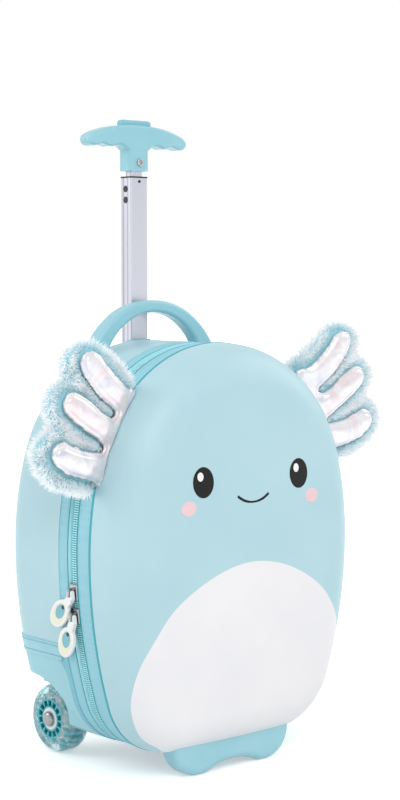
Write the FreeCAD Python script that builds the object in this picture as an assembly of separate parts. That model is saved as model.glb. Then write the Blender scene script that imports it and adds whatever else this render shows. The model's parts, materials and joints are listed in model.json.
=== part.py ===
import FreeCAD
import Part
import math
import os

# A child's pull-along case with an egg-shaped front. +X is to the right, +Y to the rear and +Z up.
# The origin is on the floor, under the middle of the whole part. All lengths are in millimetres.

# Case outline, seen from the front
case_width = 310.0
ground_gap = 23.0
case_height = 389.0
widest_height_share = 0.498
upper_side_radius = 320.0
lower_side_radius = 480.0
bottom_corner_radius = 73.0

# Layers of the case, from the front to the rear
dome_depth = 56.0
dome_edge_radius = 42.0
dome_crown_radius = 1600.0
crown_height_share = 0.5
front_band_width = 20.4
zip_width = 12.3
rear_band_width = 14.6
rear_shell_depth = 90.7
rear_rim_radius = 32.0
shell_wall = 4.0
band_inset = 0.8
lip_wall = 1.4
lip_overlap = 2.5
lining_wall = 1.0
lining_gap = 0.1
piping_radius = 1.8
piping_proud = 0.6
piping_gap = 0.1

# Zip
tape_wall = 1.0
tape_hidden_width = 8.0
coil_width = 2.9
coil_height = 2.4
coil_gap = 0.3
hinge_strip_height = 150.0
hinge_strip_gap = 0.5

# Belly panel
belly_wall = 1.0
belly_rise = 182.0
belly_width = 261.0
belly_height = 183.0
belly_outline_shares = (
    (0.0, 1.0), (0.282, 0.97), (0.56, 0.887), (0.766, 0.785), (0.902, 0.66), (0.978, 0.543), (1.0, 0.419),
    (0.985, 0.309), (0.939, 0.216), (0.826, 0.114), (0.7, 0.06), (0.6, 0.01), (0.45, -0.06), (0.0, -0.1),
)

# Front foot
foot_width = 149.0
foot_depth = 26.0
foot_back = -4.0
foot_corner_radius = 30.0
foot_arch_width = 70.0
foot_arch_height = 8.0
foot_edge_radius = 7.0
foot_arch_blend_radius = 12.0
foot_screw_inset = 5.0
foot_screw_count = 4
foot_screw_spacing = 30.0
foot_screw_depth = 12.0

# Wheels, axles and their arms
wheel_radius = 34.0
wheel_width = 26.0
wheel_side_inset = 67.0
axle_inset = 4.0
tyre_shoulder_radius = 8.0
hub_radius = 20.0
hub_cell_count = 14
hub_cell_depth = 7.0
hub_cell_length = 5.6
hub_cell_width = 5.0
bush_radius = 11.0
bush_length = 8.0
axle_radius = 4.0
bolt_head_radius = 7.5
bolt_head_height = 4.5
axle_shoulder_radius = 6.5
nut_width = 13.0
nut_height = 6.0
nut_side_count = 6
bolt_end_proud = 2.0
bolt_crown_share = 0.8
running_gap = 0.05
end_gap = 0.4
arm_gap = 3.0
arm_wall = 10.0
arm_radius = 13.0
arm_lean = 26.0
arm_rise = 26.0

# Wheel base
base_rise = 92.0
base_front_inset = 6.2
base_corner_radius = 22.0
base_wall = 3.5
base_joint_gap = 0.1
well_clearance = 5.0
arch_radius = 54.0
arch_forward = 21.0
arch_rise = 2.0
flange_height = 13.0
flange_lap = 3.0
flange_proud = 1.2
flange_front_inset = 2.5
groove_depth = 0.7
groove_width = 1.4
groove_height_shares = (0.24, 0.86)
base_screw_side_shares = (0.28, 0.62)

# Screws
screw_radius = 1.8
screw_head_radius = 3.8
screw_head_height = 2.2
screw_head_edge_radius = 0.7
screw_cross_length_share = 1.2
screw_cross_width_share = 0.28
screw_cross_depth_share = 0.5
screw_gap = 0.05

# Telescopic pole
pole_inset = 16.0
slide_gap = 0.3
mid_width = 22.0
mid_depth = 17.0
mid_wall = 1.2
mid_corner_radius = 2.0
mid_rise = 163.0
mid_length = 340.0
mid_collar_height = 1.5
mid_collar_proud = 0.5
mid_collar_sleeve = 30.0
pip_radius = 3.4
pip_drops = (11.0, 22.0)
pip_gap = 0.1
front_tab_radius = 1.5
front_tab_drop = 3.5
mid_plug_height = 12.0
mid_plug_flange = 4.0
inner_width = 14.0
inner_depth = 11.0
inner_wall = 1.0
inner_corner_radius = 2.0
inner_low_travel = 5.0
inner_high_travel = 155.0
inner_plug_height = 34.0
guide_wall = 1.6
guide_bottom_gap = 9.0
guide_top_drop = 34.0
pole_foot_wall = 4.0
pole_foot_cup = 16.0
pole_foot_width = 46.0
pole_foot_screw_spacing = 34.0
collar_wall = 3.0
collar_proud = 1.2
collar_reach = 8.0
cover_gap = 2.0
cover_wall = 1.5
cover_end_gap = 2.0

# Lock pin and release rod
rod_radius = 1.25
rod_side = 1.0
rod_back = 2.3
rod_peg_radius = 1.0
rod_gap = 0.3
button_travel = 4.0
pin_travel = 1.6
pin_radius = 2.0
pin_block_width = 6.4
pin_block_depth = 3.8
pin_block_height = 10.0
pin_tip_gap = 0.2
pin_height = 15.0
pin_peg_side = 0.2
lock_hole_gap = 0.3

# Grip and push button
grip_rest_gap = 0.5
grip_height = 46.0
grip_length = 128.0
grip_depth = 18.0
grip_edge_radius = 3.0
stem_width = 25.6
stem_depth = 17.6
stem_height = 22.0
stem_corner_radius = 3.5
stem_socket_depth = 20.0
grip_screw_height = 8.5
grip_outline_shares = (
    (0.0, 1.0), (0.3, 0.965), (0.6, 0.85), (0.83, 0.67), (0.945, 0.52), (0.995, 0.32), (0.95, 0.11),
    (0.85, 0.06), (0.71, 0.15), (0.55, 0.06), (0.39, 0.14), (0.28, 0.09), (0.19, -0.08),
)
grip_low_share = -0.2
button_width = 38.0
button_depth = 11.0
button_height = 13.0
button_proud = 5.0
button_edge_radius = 3.0
pocket_floor_depth = 14.5
spring_side = 11.0
spring_radius = 3.6
spring_wire = 0.7

# Carry handle
handle_inset = 50.0
handle_depth = 18.0
handle_rise = 40.0
handle_thickness = 12.0
handle_outer_radius = 90.0
handle_inner_radius = 66.0
handle_edge_radius = 4.0
handle_foot_side = 68.0
anchor_wall = 2.5
anchor_length = 30.0
handle_screw_spacing = 10.0
handle_screw_depth = 10.0

# Zip sliders and pull tags
slider_width = 11.0
slider_length = 14.5
slider_plate = 2.4
slider_gap = 0.3
slider_flange = 1.6
slider_edge_radius = 1.0
upper_slider_drop = 34.0
lower_slider_drop = 57.0
bail_width = 3.0
bail_length = 8.0
bail_height = 6.4
pull_pin_radius = 1.1
pull_ear_wall = 1.8
pull_ear_gap = 0.3
pull_neck_length = 7.0
pull_link_length = 7.0
pull_link_width = 8.0
pull_length = 34.0
pull_width = 21.6
pull_wall = 4.0
pull_edge_radius = 1.2
pull_link_lap = 2.0
pull_inlay_length = 18.0
pull_inlay_width = 11.5
pull_inlay_rise = 3.5
pull_inlay_depth = 1.0
pull_hole_radius = 1.6
pull_hole_drop = 7.0
pull_lean_angles = (47.0, 31.0)

# Side fins, with their outline as shares of the reach from the case side and of the span along it
fin_reach = 95.0
fin_span = 150.0
fin_root_angle = 27.0
fin_axis_inset = 7.0
fin_lifts = (-5.5, 5.5)
fin_tilt_angle = 2.0
fin_pad_thickness = 11.0
fin_pad_edge_radius = 4.0
fin_pad_back = 2.0
fin_clearance = 0.8
fin_pad_outline_shares = (
    (-0.19, 0.38), (0.12, 0.44), (0.36, 0.47), (0.57, 0.49), (0.74, 0.465), (0.87, 0.4), (0.93, 0.315),
    (0.9, 0.24), (0.83, 0.19), (0.93, 0.11), (0.96, 0.01), (0.9, -0.06), (0.76, -0.125), (0.83, -0.2),
    (0.85, -0.29), (0.79, -0.37), (0.66, -0.42), (0.47, -0.445), (0.27, -0.43), (0.06, -0.395),
    (-0.26, -0.34),
)
# Three fingers and the palm that joins their roots
fin_finger_root_shares = ((-0.04, 0.22), (-0.04, 0.06), (-0.05, -0.1), (0.03, 0.31))
fin_finger_tip_shares = ((0.76, 0.38), (0.78, 0.07), (0.68, -0.25), (0.03, -0.28))
fin_finger_width = 30.0
fin_finger_thickness = 8.0
fin_finger_station_shares = (0.0, 0.3, 0.6, 0.84, 1.0)
fin_finger_width_shares = (0.92, 1.0, 0.96, 0.78, 0.3)
fin_finger_thickness_shares = (0.6, 1.0, 0.95, 0.7, 0.25)

# One overrun serves all cuts
overrun = 5.0

V = FreeCAD.Vector
right = V(1, 0, 0)
rearward = V(0, 1, 0)
upward = V(0, 0, 1)

# Places worked out from the sizes
case_back = front_band_width + zip_width + rear_band_width + rear_shell_depth
seam_y = (dome_depth - case_back + axle_inset - wheel_radius) / 2
half_width = case_width / 2
top_z = ground_gap + case_height
widest_z = ground_gap + case_height * widest_height_share
upper_centre_x = half_width - upper_side_radius
lower_centre_x = half_width - lower_side_radius
top_rise = top_z - widest_z
top_radius = (upper_side_radius**2 - upper_centre_x**2 - top_rise**2) / (2 * (upper_side_radius - top_rise))
top_centre_z = top_z - top_radius
corner_centre_z = ground_gap + bottom_corner_radius
corner_reach = math.sqrt((lower_side_radius - bottom_corner_radius)**2 - (corner_centre_z - widest_z)**2)
corner_centre_x = lower_centre_x + corner_reach
top_angle = math.atan2(top_centre_z - widest_z, -upper_centre_x)
corner_angle = math.atan2(corner_centre_z - widest_z, corner_reach)
zip_front_y = seam_y + front_band_width
zip_rear_y = zip_front_y + zip_width
parting_y = (zip_front_y + zip_rear_y) / 2
shell_front_y = zip_rear_y + rear_band_width
rear_y = shell_front_y + rear_shell_depth
lip_inset = shell_wall + lip_wall
tape_inset = lip_inset + tape_wall
coil_inset = lip_inset - coil_height
pole_y = rear_y - pole_inset
axle_y = rear_y - axle_inset
axle_z = wheel_radius
base_top = ground_gap + base_rise
base_front_y = shell_front_y + base_front_inset
mid_top = top_z + mid_rise


def arc(centre_x, centre_z, radius, start, end, y):
    points = []
    for angle in (start, (start + end) / 2, end):
        points.append(V(centre_x + radius * math.cos(angle), y, centre_z + radius * math.sin(angle)))
    return Part.Arc(points[0], points[1], points[2]).toShape()


def case_outline(inset, y):
    # Closed egg outline in a plane of one depth, moved inwards by the inset
    upper = upper_side_radius - inset
    lower = lower_side_radius - inset
    corner = bottom_corner_radius - inset
    bottom_z = ground_gap + inset
    pi = math.pi
    edges = [
        arc(upper_centre_x, widest_z, upper, 0, top_angle, y),
        arc(0, top_centre_z, top_radius - inset, top_angle, pi - top_angle, y),
        arc(-upper_centre_x, widest_z, upper, pi - top_angle, pi, y),
        arc(-lower_centre_x, widest_z, lower, pi, pi - corner_angle, y),
        arc(-corner_centre_x, corner_centre_z, corner, pi - corner_angle, 1.5 * pi, y),
        Part.makeLine(V(-corner_centre_x, y, bottom_z), V(corner_centre_x, y, bottom_z)),
        arc(corner_centre_x, corner_centre_z, corner, -pi / 2, corner_angle, y),
        arc(lower_centre_x, widest_z, lower, corner_angle, 0, y),
    ]
    return Part.Wire(edges)


def case_block(inset, front_y, back_y):
    return Part.Face(case_outline(inset, front_y)).extrude(V(0, back_y - front_y, 0))


def case_ring(outer_inset, inner_inset, front_y, back_y):
    outer = case_block(outer_inset, front_y, back_y)
    inner = case_block(inner_inset, front_y - overrun, back_y + overrun)
    return outer.cut(inner)


def edges_at_depth(shape, y):
    found = []
    for edge in shape.Edges:
        box = edge.BoundBox
        if abs(box.YMin - y) < running_gap and abs(box.YMax - y) < running_gap:
            found.append(edge)
    return found


def dome_form(inset, lead):
    # Egg block with a slightly crowned front and a large rounded edge
    block = case_block(inset, seam_y + lead, seam_y - dome_depth)
    crown_z = ground_gap + case_height * crown_height_share
    crown_centre = V(0, seam_y - dome_depth + dome_crown_radius, crown_z)
    crown = Part.makeSphere(dome_crown_radius - inset, crown_centre)
    form = block.common(crown)
    front_edges = []
    for face in form.Faces:
        if isinstance(face.Surface, Part.Sphere):
            front_edges.extend(face.Edges)
    return form.makeFillet(dome_edge_radius - inset, front_edges)


def rear_form(inset, lead):
    # Egg block with a rounded rear edge
    block = case_block(inset, shell_front_y - lead, rear_y - inset)
    return block.makeFillet(rear_rim_radius - inset, edges_at_depth(block, rear_y - inset))


def smooth_loop(points):
    # Closed smooth curve through the points, as one edge for each stretch
    curve = Part.BSplineCurve()
    curve.interpolate(Points=points, PeriodicFlag=True)
    knots = curve.getKnots()
    edges = []
    for index in range(len(knots) - 1):
        edges.append(curve.toShape(knots[index], knots[index + 1]))
    return Part.Wire(edges)


def box_between(low, high):
    size = high.sub(low)
    return Part.makeBox(size.x, size.y, size.z, low)


def rounded_bar(width, depth, radius, low_z, high_z, centre):
    # Upright bar of rounded rectangular section
    low = V(centre.x - width / 2, centre.y - depth / 2, low_z)
    bar = Part.makeBox(width, depth, high_z - low_z, low)
    upright = []
    for edge in bar.Edges:
        if edge.BoundBox.ZLength > (high_z - low_z) / 2:
            upright.append(edge)
    return bar.makeFillet(radius, upright)


def side_cylinder(radius, from_x, to_x, y, z):
    low_x = min(from_x, to_x)
    return Part.makeCylinder(radius, abs(to_x - from_x), V(low_x, y, z), right)


def screw(place, outward, length):
    # Cross-head screw whose head seats at the place, with its shank against the outward direction
    shank = Part.makeCylinder(screw_radius, length, V(0, 0, -length))
    head = Part.makeCylinder(screw_head_radius, screw_head_height)
    head = head.makeFillet(screw_head_edge_radius, [head.Edges[0]])
    slot_length = screw_head_radius * screw_cross_length_share
    slot_width = screw_head_radius * screw_cross_width_share
    slot_depth = screw_head_height * screw_cross_depth_share
    body = shank.fuse(head)
    for along, across in ((slot_length, slot_width), (slot_width, slot_length)):
        low = V(-along / 2, -across / 2, screw_head_height - slot_depth)
        body = body.cut(Part.makeBox(along, across, slot_depth + overrun, low))
    body.Placement = FreeCAD.Placement(place, FreeCAD.Rotation(upward, outward))
    return body


def screw_hole(place, outward, length):
    inward = V(outward).multiply(-1)
    start = place.add(V(outward).multiply(overrun))
    return Part.makeCylinder(screw_radius + screw_gap, length + overrun, start, inward)


def head_room(place, outward):
    # Room of a screw head, which gives it a flat seat on a curved wall
    return Part.makeCylinder(screw_head_radius + screw_gap, screw_head_height + overrun, place, outward)


# Rear shell, its openings and the zone that the wheel base takes over
def base_zone(gap):
    # Block behind and below the rear shell's cut edge
    front_y = base_front_y + gap
    top = base_top - gap
    radius = base_corner_radius - gap
    back_y = rear_y + case_width
    low_z = -case_height
    corner_y = front_y + radius
    corner_z = top - radius
    middle = V(-case_width, corner_y - radius * math.sqrt(0.5), corner_z + radius * math.sqrt(0.5))
    edges = [
        Part.makeLine(V(-case_width, front_y, low_z), V(-case_width, front_y, corner_z)),
        Part.Arc(V(-case_width, front_y, corner_z), middle, V(-case_width, corner_y, top)).toShape(),
        Part.makeLine(V(-case_width, corner_y, top), V(-case_width, back_y, top)),
        Part.makeLine(V(-case_width, back_y, top), V(-case_width, back_y, low_z)),
        Part.makeLine(V(-case_width, back_y, low_z), V(-case_width, front_y, low_z)),
    ]
    return Part.Face(Part.Wire(edges)).extrude(V(2 * case_width, 0, 0))


pole_centre = V(0, pole_y, 0)
guide_bore_width = mid_width + 2 * slide_gap
guide_bore_depth = mid_depth + 2 * slide_gap
guide_bore_radius = mid_corner_radius + slide_gap
guide_width = guide_bore_width + 2 * guide_wall
guide_depth = guide_bore_depth + 2 * guide_wall
guide_bottom = ground_gap + rear_rim_radius + guide_bottom_gap
guide_top = top_z - guide_top_drop
collar_width = guide_bore_width + 2 * collar_wall
collar_depth = guide_bore_depth + 2 * collar_wall
collar_radius = guide_bore_radius + collar_wall
slot_low_z = guide_top + slide_gap

rear_outer = rear_form(0, 0)
rear_inner = rear_form(shell_wall, overrun)
rear_shell = rear_outer.cut(rear_inner).cut(base_zone(0))
collar_slot = rounded_bar(collar_width, collar_depth, collar_radius, slot_low_z, top_z + overrun, pole_centre)
rear_shell = rear_shell.cut(collar_slot)

lining_inset = shell_wall + lining_gap
lining_front_y = shell_front_y + lip_overlap + lining_gap
lining_outer = rear_form(lining_inset, 0)
lining_inner = rear_form(lining_inset + lining_wall, overrun)
lining_start = box_between(V(-case_width, seam_y - case_width, -case_height),
                           V(case_width, lining_front_y, 2 * case_height))
rear_lining = lining_outer.cut(lining_inner).cut(lining_start).cut(collar_slot)
lining_back_y = rear_y - lining_inset - lining_wall

pole_collar = rounded_bar(collar_width, collar_depth, collar_radius, slot_low_z, top_z + overrun, pole_centre)
pole_collar = pole_collar.common(rear_form(-collar_proud, 0)).cut(rear_form(collar_reach, overrun))
guide_bore = rounded_bar(guide_bore_width, guide_bore_depth, guide_bore_radius,
                         guide_bottom - overrun, top_z + overrun, pole_centre)
pole_collar = pole_collar.cut(guide_bore)

guide_tube = rounded_bar(guide_width, guide_depth, guide_bore_radius + guide_wall,
                         guide_bottom, guide_top, pole_centre).cut(guide_bore)

pole_foot_back_y = rear_y - base_wall
pole_foot_front_y = pole_y - guide_depth / 2 - pole_foot_wall
pole_foot_low = guide_bottom - pole_foot_wall
pole_foot_top = guide_bottom + pole_foot_cup
pole_foot = box_between(V(-pole_foot_width / 2, pole_foot_front_y, pole_foot_low),
                        V(pole_foot_width / 2, pole_foot_back_y, pole_foot_top))
pole_foot = pole_foot.cut(rounded_bar(guide_width, guide_depth, guide_bore_radius + guide_wall,
                                      guide_bottom, pole_foot_top + overrun, pole_centre))

cover_width = guide_width + 2 * cover_gap + 2 * cover_wall
cover_low = pole_foot_top + cover_end_gap
cover_high = top_z - rear_rim_radius - cover_end_gap
cover_front_y = pole_y - guide_depth / 2 - cover_gap - cover_wall
pole_cover = box_between(V(-cover_width / 2, cover_front_y, cover_low),
                         V(cover_width / 2, lining_back_y, cover_high))
cover_room = box_between(V(cover_wall - cover_width / 2, cover_front_y + cover_wall, cover_low - overrun),
                         V(cover_width / 2 - cover_wall, lining_back_y + overrun, cover_high + overrun))
pole_cover = pole_cover.cut(cover_room)

# Wheel base: skin of the lower rear corner, two wheel wells, two axle arms and a flange over the shell
wheel_outer_x = half_width - wheel_side_inset + wheel_width / 2
wheel_inner_x = half_width - wheel_side_inset - wheel_width / 2
arm_outer_x = wheel_inner_x - arm_gap
arm_inner_x = arm_outer_x - arm_wall
well_radius = wheel_radius + well_clearance
well_outer_x = wheel_outer_x + well_clearance
bolt_end_x = arm_inner_x - nut_height - bolt_end_proud
nut_reach = nut_width / math.sqrt(3)
nut_room_radius = nut_reach + slide_gap
nut_room_x = bolt_end_x - slide_gap

wheel_base = rear_outer.cut(rear_form(base_wall, overrun)).common(base_zone(base_joint_gap))
flange_band = rear_form(-flange_proud, 0).cut(rear_form(0, overrun))
flange_low = base_top - flange_lap
flange_top = base_top + flange_height
flange_slab = box_between(V(-case_width, base_front_y + flange_front_inset, flange_low),
                          V(case_width, rear_y + case_width, flange_top))
flange = flange_band.common(flange_slab)
groove_band = rear_form(-flange_proud - overrun, 0).cut(rear_form(groove_depth - flange_proud, overrun))
for share in groove_height_shares:
    groove_z = flange_low + (flange_top - flange_low) * share
    groove_slab = box_between(V(-case_width, seam_y, groove_z - groove_width / 2),
                              V(case_width, rear_y + case_width, groove_z + groove_width / 2))
    flange = flange.cut(groove_band.common(groove_slab))
wheel_base = wheel_base.fuse(flange)
base_inside = rear_form(base_wall, overrun)


def wheel_arch(side, gap):
    # Opening beside a wheel, round in front and straight to the rear, grown by the gap
    near_x = side * (well_outer_x - gap)
    far_x = side * (half_width + overrun)
    middle_y = axle_y - arch_forward
    middle_z = axle_z + arch_rise
    reach = arch_radius + gap
    front = side_cylinder(reach, near_x, far_x, middle_y, middle_z)
    back = box_between(V(min(near_x, far_x), middle_y, middle_z - reach),
                       V(max(near_x, far_x), rear_y + overrun, middle_z + reach))
    return front.fuse(back)


for side in (-1, 1):
    well = side_cylinder(well_radius + base_wall, side * arm_inner_x, side * half_width, axle_y, axle_z)
    well = well.fuse(wheel_arch(side, base_wall))
    wheel_base = wheel_base.fuse(well.common(rear_outer).common(base_zone(base_joint_gap)))
for side in (-1, 1):
    axle_end = side_cylinder(arm_radius, side * arm_inner_x, side * arm_outer_x, axle_y, axle_z)
    arm_root_y = axle_y - arm_lean
    arm_root_z = axle_z + arm_rise
    root_end = side_cylinder(arm_radius, side * arm_inner_x, side * arm_outer_x, arm_root_y, arm_root_z)
    lean_length = math.hypot(arm_lean, arm_rise)
    across = V(0, arm_rise, arm_lean).multiply(arm_radius / lean_length)
    corners = []
    for end_y, end_z, sign in ((axle_y, axle_z, 1), (arm_root_y, arm_root_z, 1),
                               (arm_root_y, arm_root_z, -1), (axle_y, axle_z, -1)):
        corners.append(V(side * arm_inner_x, end_y + sign * across.y, end_z + sign * across.z))
    corners.append(corners[0])
    web = Part.Face(Part.makePolygon(corners)).extrude(V(side * arm_wall, 0, 0))
    arm = axle_end.fuse(root_end).fuse(web)
    keep = arm.cut(base_inside)
    wheel_base = wheel_base.fuse(keep)
for side in (-1, 1):
    nut_boss = side_cylinder(nut_room_radius + base_wall, side * arm_inner_x,
                             side * (nut_room_x - base_wall), axle_y, axle_z)
    wheel_base = wheel_base.fuse(nut_boss.common(rear_outer).common(base_zone(base_joint_gap)))
    rear_lining = rear_lining.cut(side_cylinder(nut_room_radius + base_wall + slide_gap, side * arm_inner_x,
                                                side * (nut_room_x - base_wall - slide_gap), axle_y, axle_z))
for side in (-1, 1):
    nut_room = side_cylinder(nut_room_radius, side * arm_inner_x, side * nut_room_x, axle_y, axle_z)
    wheel_base = wheel_base.cut(nut_room)
    cavity = side_cylinder(well_radius, side * arm_outer_x, side * well_outer_x, axle_y, axle_z)
    bolt_hole = side_cylinder(axle_radius + screw_gap, side * (arm_inner_x - overrun),
                              side * (arm_outer_x + overrun), axle_y, axle_z)
    wheel_base = wheel_base.cut(cavity).cut(wheel_arch(side, 0)).cut(bolt_hole)
    lining_cut = side_cylinder(well_radius + base_wall + slide_gap, side * (arm_inner_x - slide_gap),
                               side * case_width, axle_y, axle_z)
    rear_lining = rear_lining.cut(lining_cut).cut(wheel_arch(side, base_wall + slide_gap))
rear_lining = rear_lining.cut(box_between(
    V(-pole_foot_width / 2 - slide_gap, pole_foot_front_y - slide_gap, pole_foot_low - slide_gap),
    V(pole_foot_width / 2 + slide_gap, rear_y, pole_foot_top + slide_gap)))

# Screws of the wheel base and of the pole foot
base_screw_z = base_top + flange_height / 2
base_screws = []
for share in [sign * share for sign in (-1, 1) for share in base_screw_side_shares]:
    place = V(share * half_width, rear_y + flange_proud, base_screw_z)
    length = flange_proud + shell_wall
    base_screws.append(screw(place, rearward, length))
    hole = screw_hole(place, rearward, length + lining_gap)
    wheel_base = wheel_base.cut(hole)
    rear_shell = rear_shell.cut(hole)
pole_foot_screws = []
for side in (-1, 1):
    screw_x = side * pole_foot_screw_spacing / 2
    place = V(screw_x, rear_y, (guide_bottom + pole_foot_top) / 2)
    length = rear_y - pole_foot_front_y - pole_foot_wall
    pole_foot_screws.append(screw(place, rearward, length))
    hole = screw_hole(place, rearward, length)
    wheel_base = wheel_base.cut(hole)
    pole_foot = pole_foot.cut(hole)

# Bands, tapes and the fabric hinge
front_band = case_ring(band_inset, shell_wall, seam_y + piping_radius + piping_gap, zip_front_y)
front_band = front_band.fuse(case_ring(shell_wall, lip_inset, seam_y - lip_overlap, zip_front_y))
front_band = front_band.removeSplitter()
rear_band = case_ring(band_inset, shell_wall, zip_rear_y, shell_front_y)
rear_band = rear_band.fuse(case_ring(shell_wall, lip_inset, zip_rear_y, shell_front_y + lip_overlap))
rear_band = rear_band.removeSplitter()

hinge_low = widest_z - hinge_strip_height / 2
hinge_high = widest_z + hinge_strip_height / 2


def hinge_room(gap):
    return box_between(V(0, seam_y - case_width, hinge_low - gap), V(case_width, rear_y, hinge_high + gap))


coil_front_y = parting_y - coil_gap / 2
coil_rear_y = parting_y + coil_gap / 2
tape_front_y = zip_front_y - tape_hidden_width
tape_rear_y = zip_rear_y + tape_hidden_width
front_tape = case_ring(lip_inset, tape_inset, tape_front_y, coil_front_y)
front_tape = front_tape.fuse(case_ring(coil_inset, lip_inset, coil_front_y - coil_width, coil_front_y))
front_tape = front_tape.cut(hinge_room(hinge_strip_gap)).removeSplitter()
rear_tape = case_ring(lip_inset, tape_inset, coil_rear_y, tape_rear_y)
rear_tape = rear_tape.fuse(case_ring(coil_inset, lip_inset, coil_rear_y, coil_rear_y + coil_width))
rear_tape = rear_tape.cut(hinge_room(hinge_strip_gap)).removeSplitter()
hinge_strip = case_ring(lip_inset, tape_inset, tape_front_y, tape_rear_y).common(hinge_room(0))

# Front shell, belly panel, lining and piping
dome_outer = dome_form(0, 0)
dome_start = box_between(V(-case_width, seam_y - piping_radius - piping_gap, -case_height),
                         V(case_width, rear_y, 2 * case_height))
front_dome = dome_outer.cut(dome_form(shell_wall, overrun)).cut(dome_start)

belly_top = ground_gap + belly_rise
belly_bottom = belly_top - belly_height
belly_points = []
for x_share, z_share in belly_outline_shares:
    belly_points.append(V(x_share * belly_width / 2, 0, belly_bottom + z_share * belly_height))
for point in reversed(belly_points[1:-1]):
    belly_points.append(V(-point.x, 0, point.z))
belly_block = Part.Face(smooth_loop(belly_points)).extrude(V(0, -case_width, 0))
belly_skin = dome_outer.cut(dome_form(belly_wall, overrun)).cut(dome_start)
belly_panel = belly_skin.common(belly_block)
front_dome = front_dome.cut(belly_panel)

lining_end = box_between(V(-case_width, seam_y - lip_overlap - lining_gap, -case_height),
                         V(case_width, rear_y, 2 * case_height))
front_lining = dome_form(lining_inset, 0).cut(dome_form(lining_inset + lining_wall, overrun)).cut(lining_end)

piping_inset = piping_radius - piping_proud
piping_path = case_outline(piping_inset, seam_y)
piping_start = V(half_width - piping_inset, seam_y, widest_z)
piping_section = Part.Wire([Part.makeCircle(piping_radius, piping_start, upward)])
piping = piping_path.makePipeShell([piping_section], True, False)

# Front foot on the lid
foot_half = foot_width / 2
foot_front_y = seam_y + foot_back - foot_depth
foot_rear_y = seam_y + foot_back
foot_top = ground_gap + foot_corner_radius
arch_half = foot_arch_width / 2
corner_bend = foot_corner_radius * (1 - math.sqrt(0.5))


def foot_point(x, z):
    return V(x, foot_front_y, z)


foot_edges = [
    Part.makeLine(foot_point(-foot_half, foot_top), foot_point(-foot_half, foot_corner_radius)),
    Part.Arc(foot_point(-foot_half, foot_corner_radius), foot_point(corner_bend - foot_half, corner_bend),
             foot_point(foot_corner_radius - foot_half, 0)).toShape(),
    Part.makeLine(foot_point(foot_corner_radius - foot_half, 0), foot_point(-arch_half, 0)),
    Part.Arc(foot_point(-arch_half, 0), foot_point(0, foot_arch_height), foot_point(arch_half, 0)).toShape(),
    Part.makeLine(foot_point(arch_half, 0), foot_point(foot_half - foot_corner_radius, 0)),
    Part.Arc(foot_point(foot_half - foot_corner_radius, 0), foot_point(foot_half - corner_bend, corner_bend),
             foot_point(foot_half, foot_corner_radius)).toShape(),
    Part.makeLine(foot_point(foot_half, foot_corner_radius), foot_point(foot_half, foot_top)),
    Part.makeLine(foot_point(foot_half, foot_top), foot_point(-foot_half, foot_top)),
]
front_foot = Part.Face(Part.Wire(foot_edges)).extrude(V(0, foot_depth, 0))
arch_ends = []
for edge in front_foot.Edges:
    box = edge.BoundBox
    at_arch_end = abs(abs(box.XMin) - arch_half) < running_gap
    if box.YLength > foot_depth / 2 and box.ZMax < running_gap and at_arch_end:
        arch_ends.append(edge)
front_foot = front_foot.makeFillet(foot_arch_blend_radius, arch_ends)
foot_rim = []
for edge in front_foot.Edges:
    box = edge.BoundBox
    if box.YLength < running_gap and box.ZMin < foot_top - running_gap:
        foot_rim.append(edge)
front_foot = front_foot.makeFillet(foot_edge_radius, foot_rim).cut(dome_outer)
foot_screws = []
for index in range(foot_screw_count):
    inset = shell_wall + lining_gap + lining_wall
    place_x = (index - (foot_screw_count - 1) / 2) * foot_screw_spacing
    place = V(place_x, foot_rear_y - foot_screw_inset, ground_gap + inset + lining_gap)
    length = inset + lining_gap + foot_screw_depth
    foot_screws.append(screw(place, upward, length))
    hole = screw_hole(place, upward, length)
    front_foot = front_foot.cut(hole)
    front_dome = front_dome.cut(hole)
    front_lining = front_lining.cut(hole).cut(head_room(place, upward))
    belly_panel = belly_panel.cut(hole)

# Carry handle with its anchors
handle_y = rear_y - handle_inset
handle_apex = top_z + handle_rise
outer_centre = V(0, handle_y, handle_apex - handle_outer_radius)
inner_centre = V(0, handle_y - overrun, handle_apex - handle_thickness - handle_inner_radius)
carry_handle = Part.makeCylinder(handle_outer_radius, handle_depth, outer_centre, rearward)
carry_handle = carry_handle.cut(
    Part.makeCylinder(handle_inner_radius, handle_depth + 2 * overrun, inner_centre, rearward))
handle_rims = []
for edge in carry_handle.Edges:
    if edge.BoundBox.YLength < running_gap:
        handle_rims.append(edge)
carry_handle = carry_handle.makeFillet(handle_edge_radius, handle_rims)
leg_angle = math.asin(handle_foot_side / top_radius)
handle_floor = box_between(V(-case_width, handle_y - overrun, top_centre_z - case_height),
                           V(case_width, handle_y + handle_depth + overrun, outer_centre.z))
carry_handle = carry_handle.cut(rear_outer).cut(handle_floor)
anchor_inset = lining_inset + lining_wall + lining_gap
anchor_shell = rear_form(anchor_inset, 0).cut(rear_form(anchor_inset + anchor_wall, overrun))
handle_anchors = []
handle_screws = []
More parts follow.
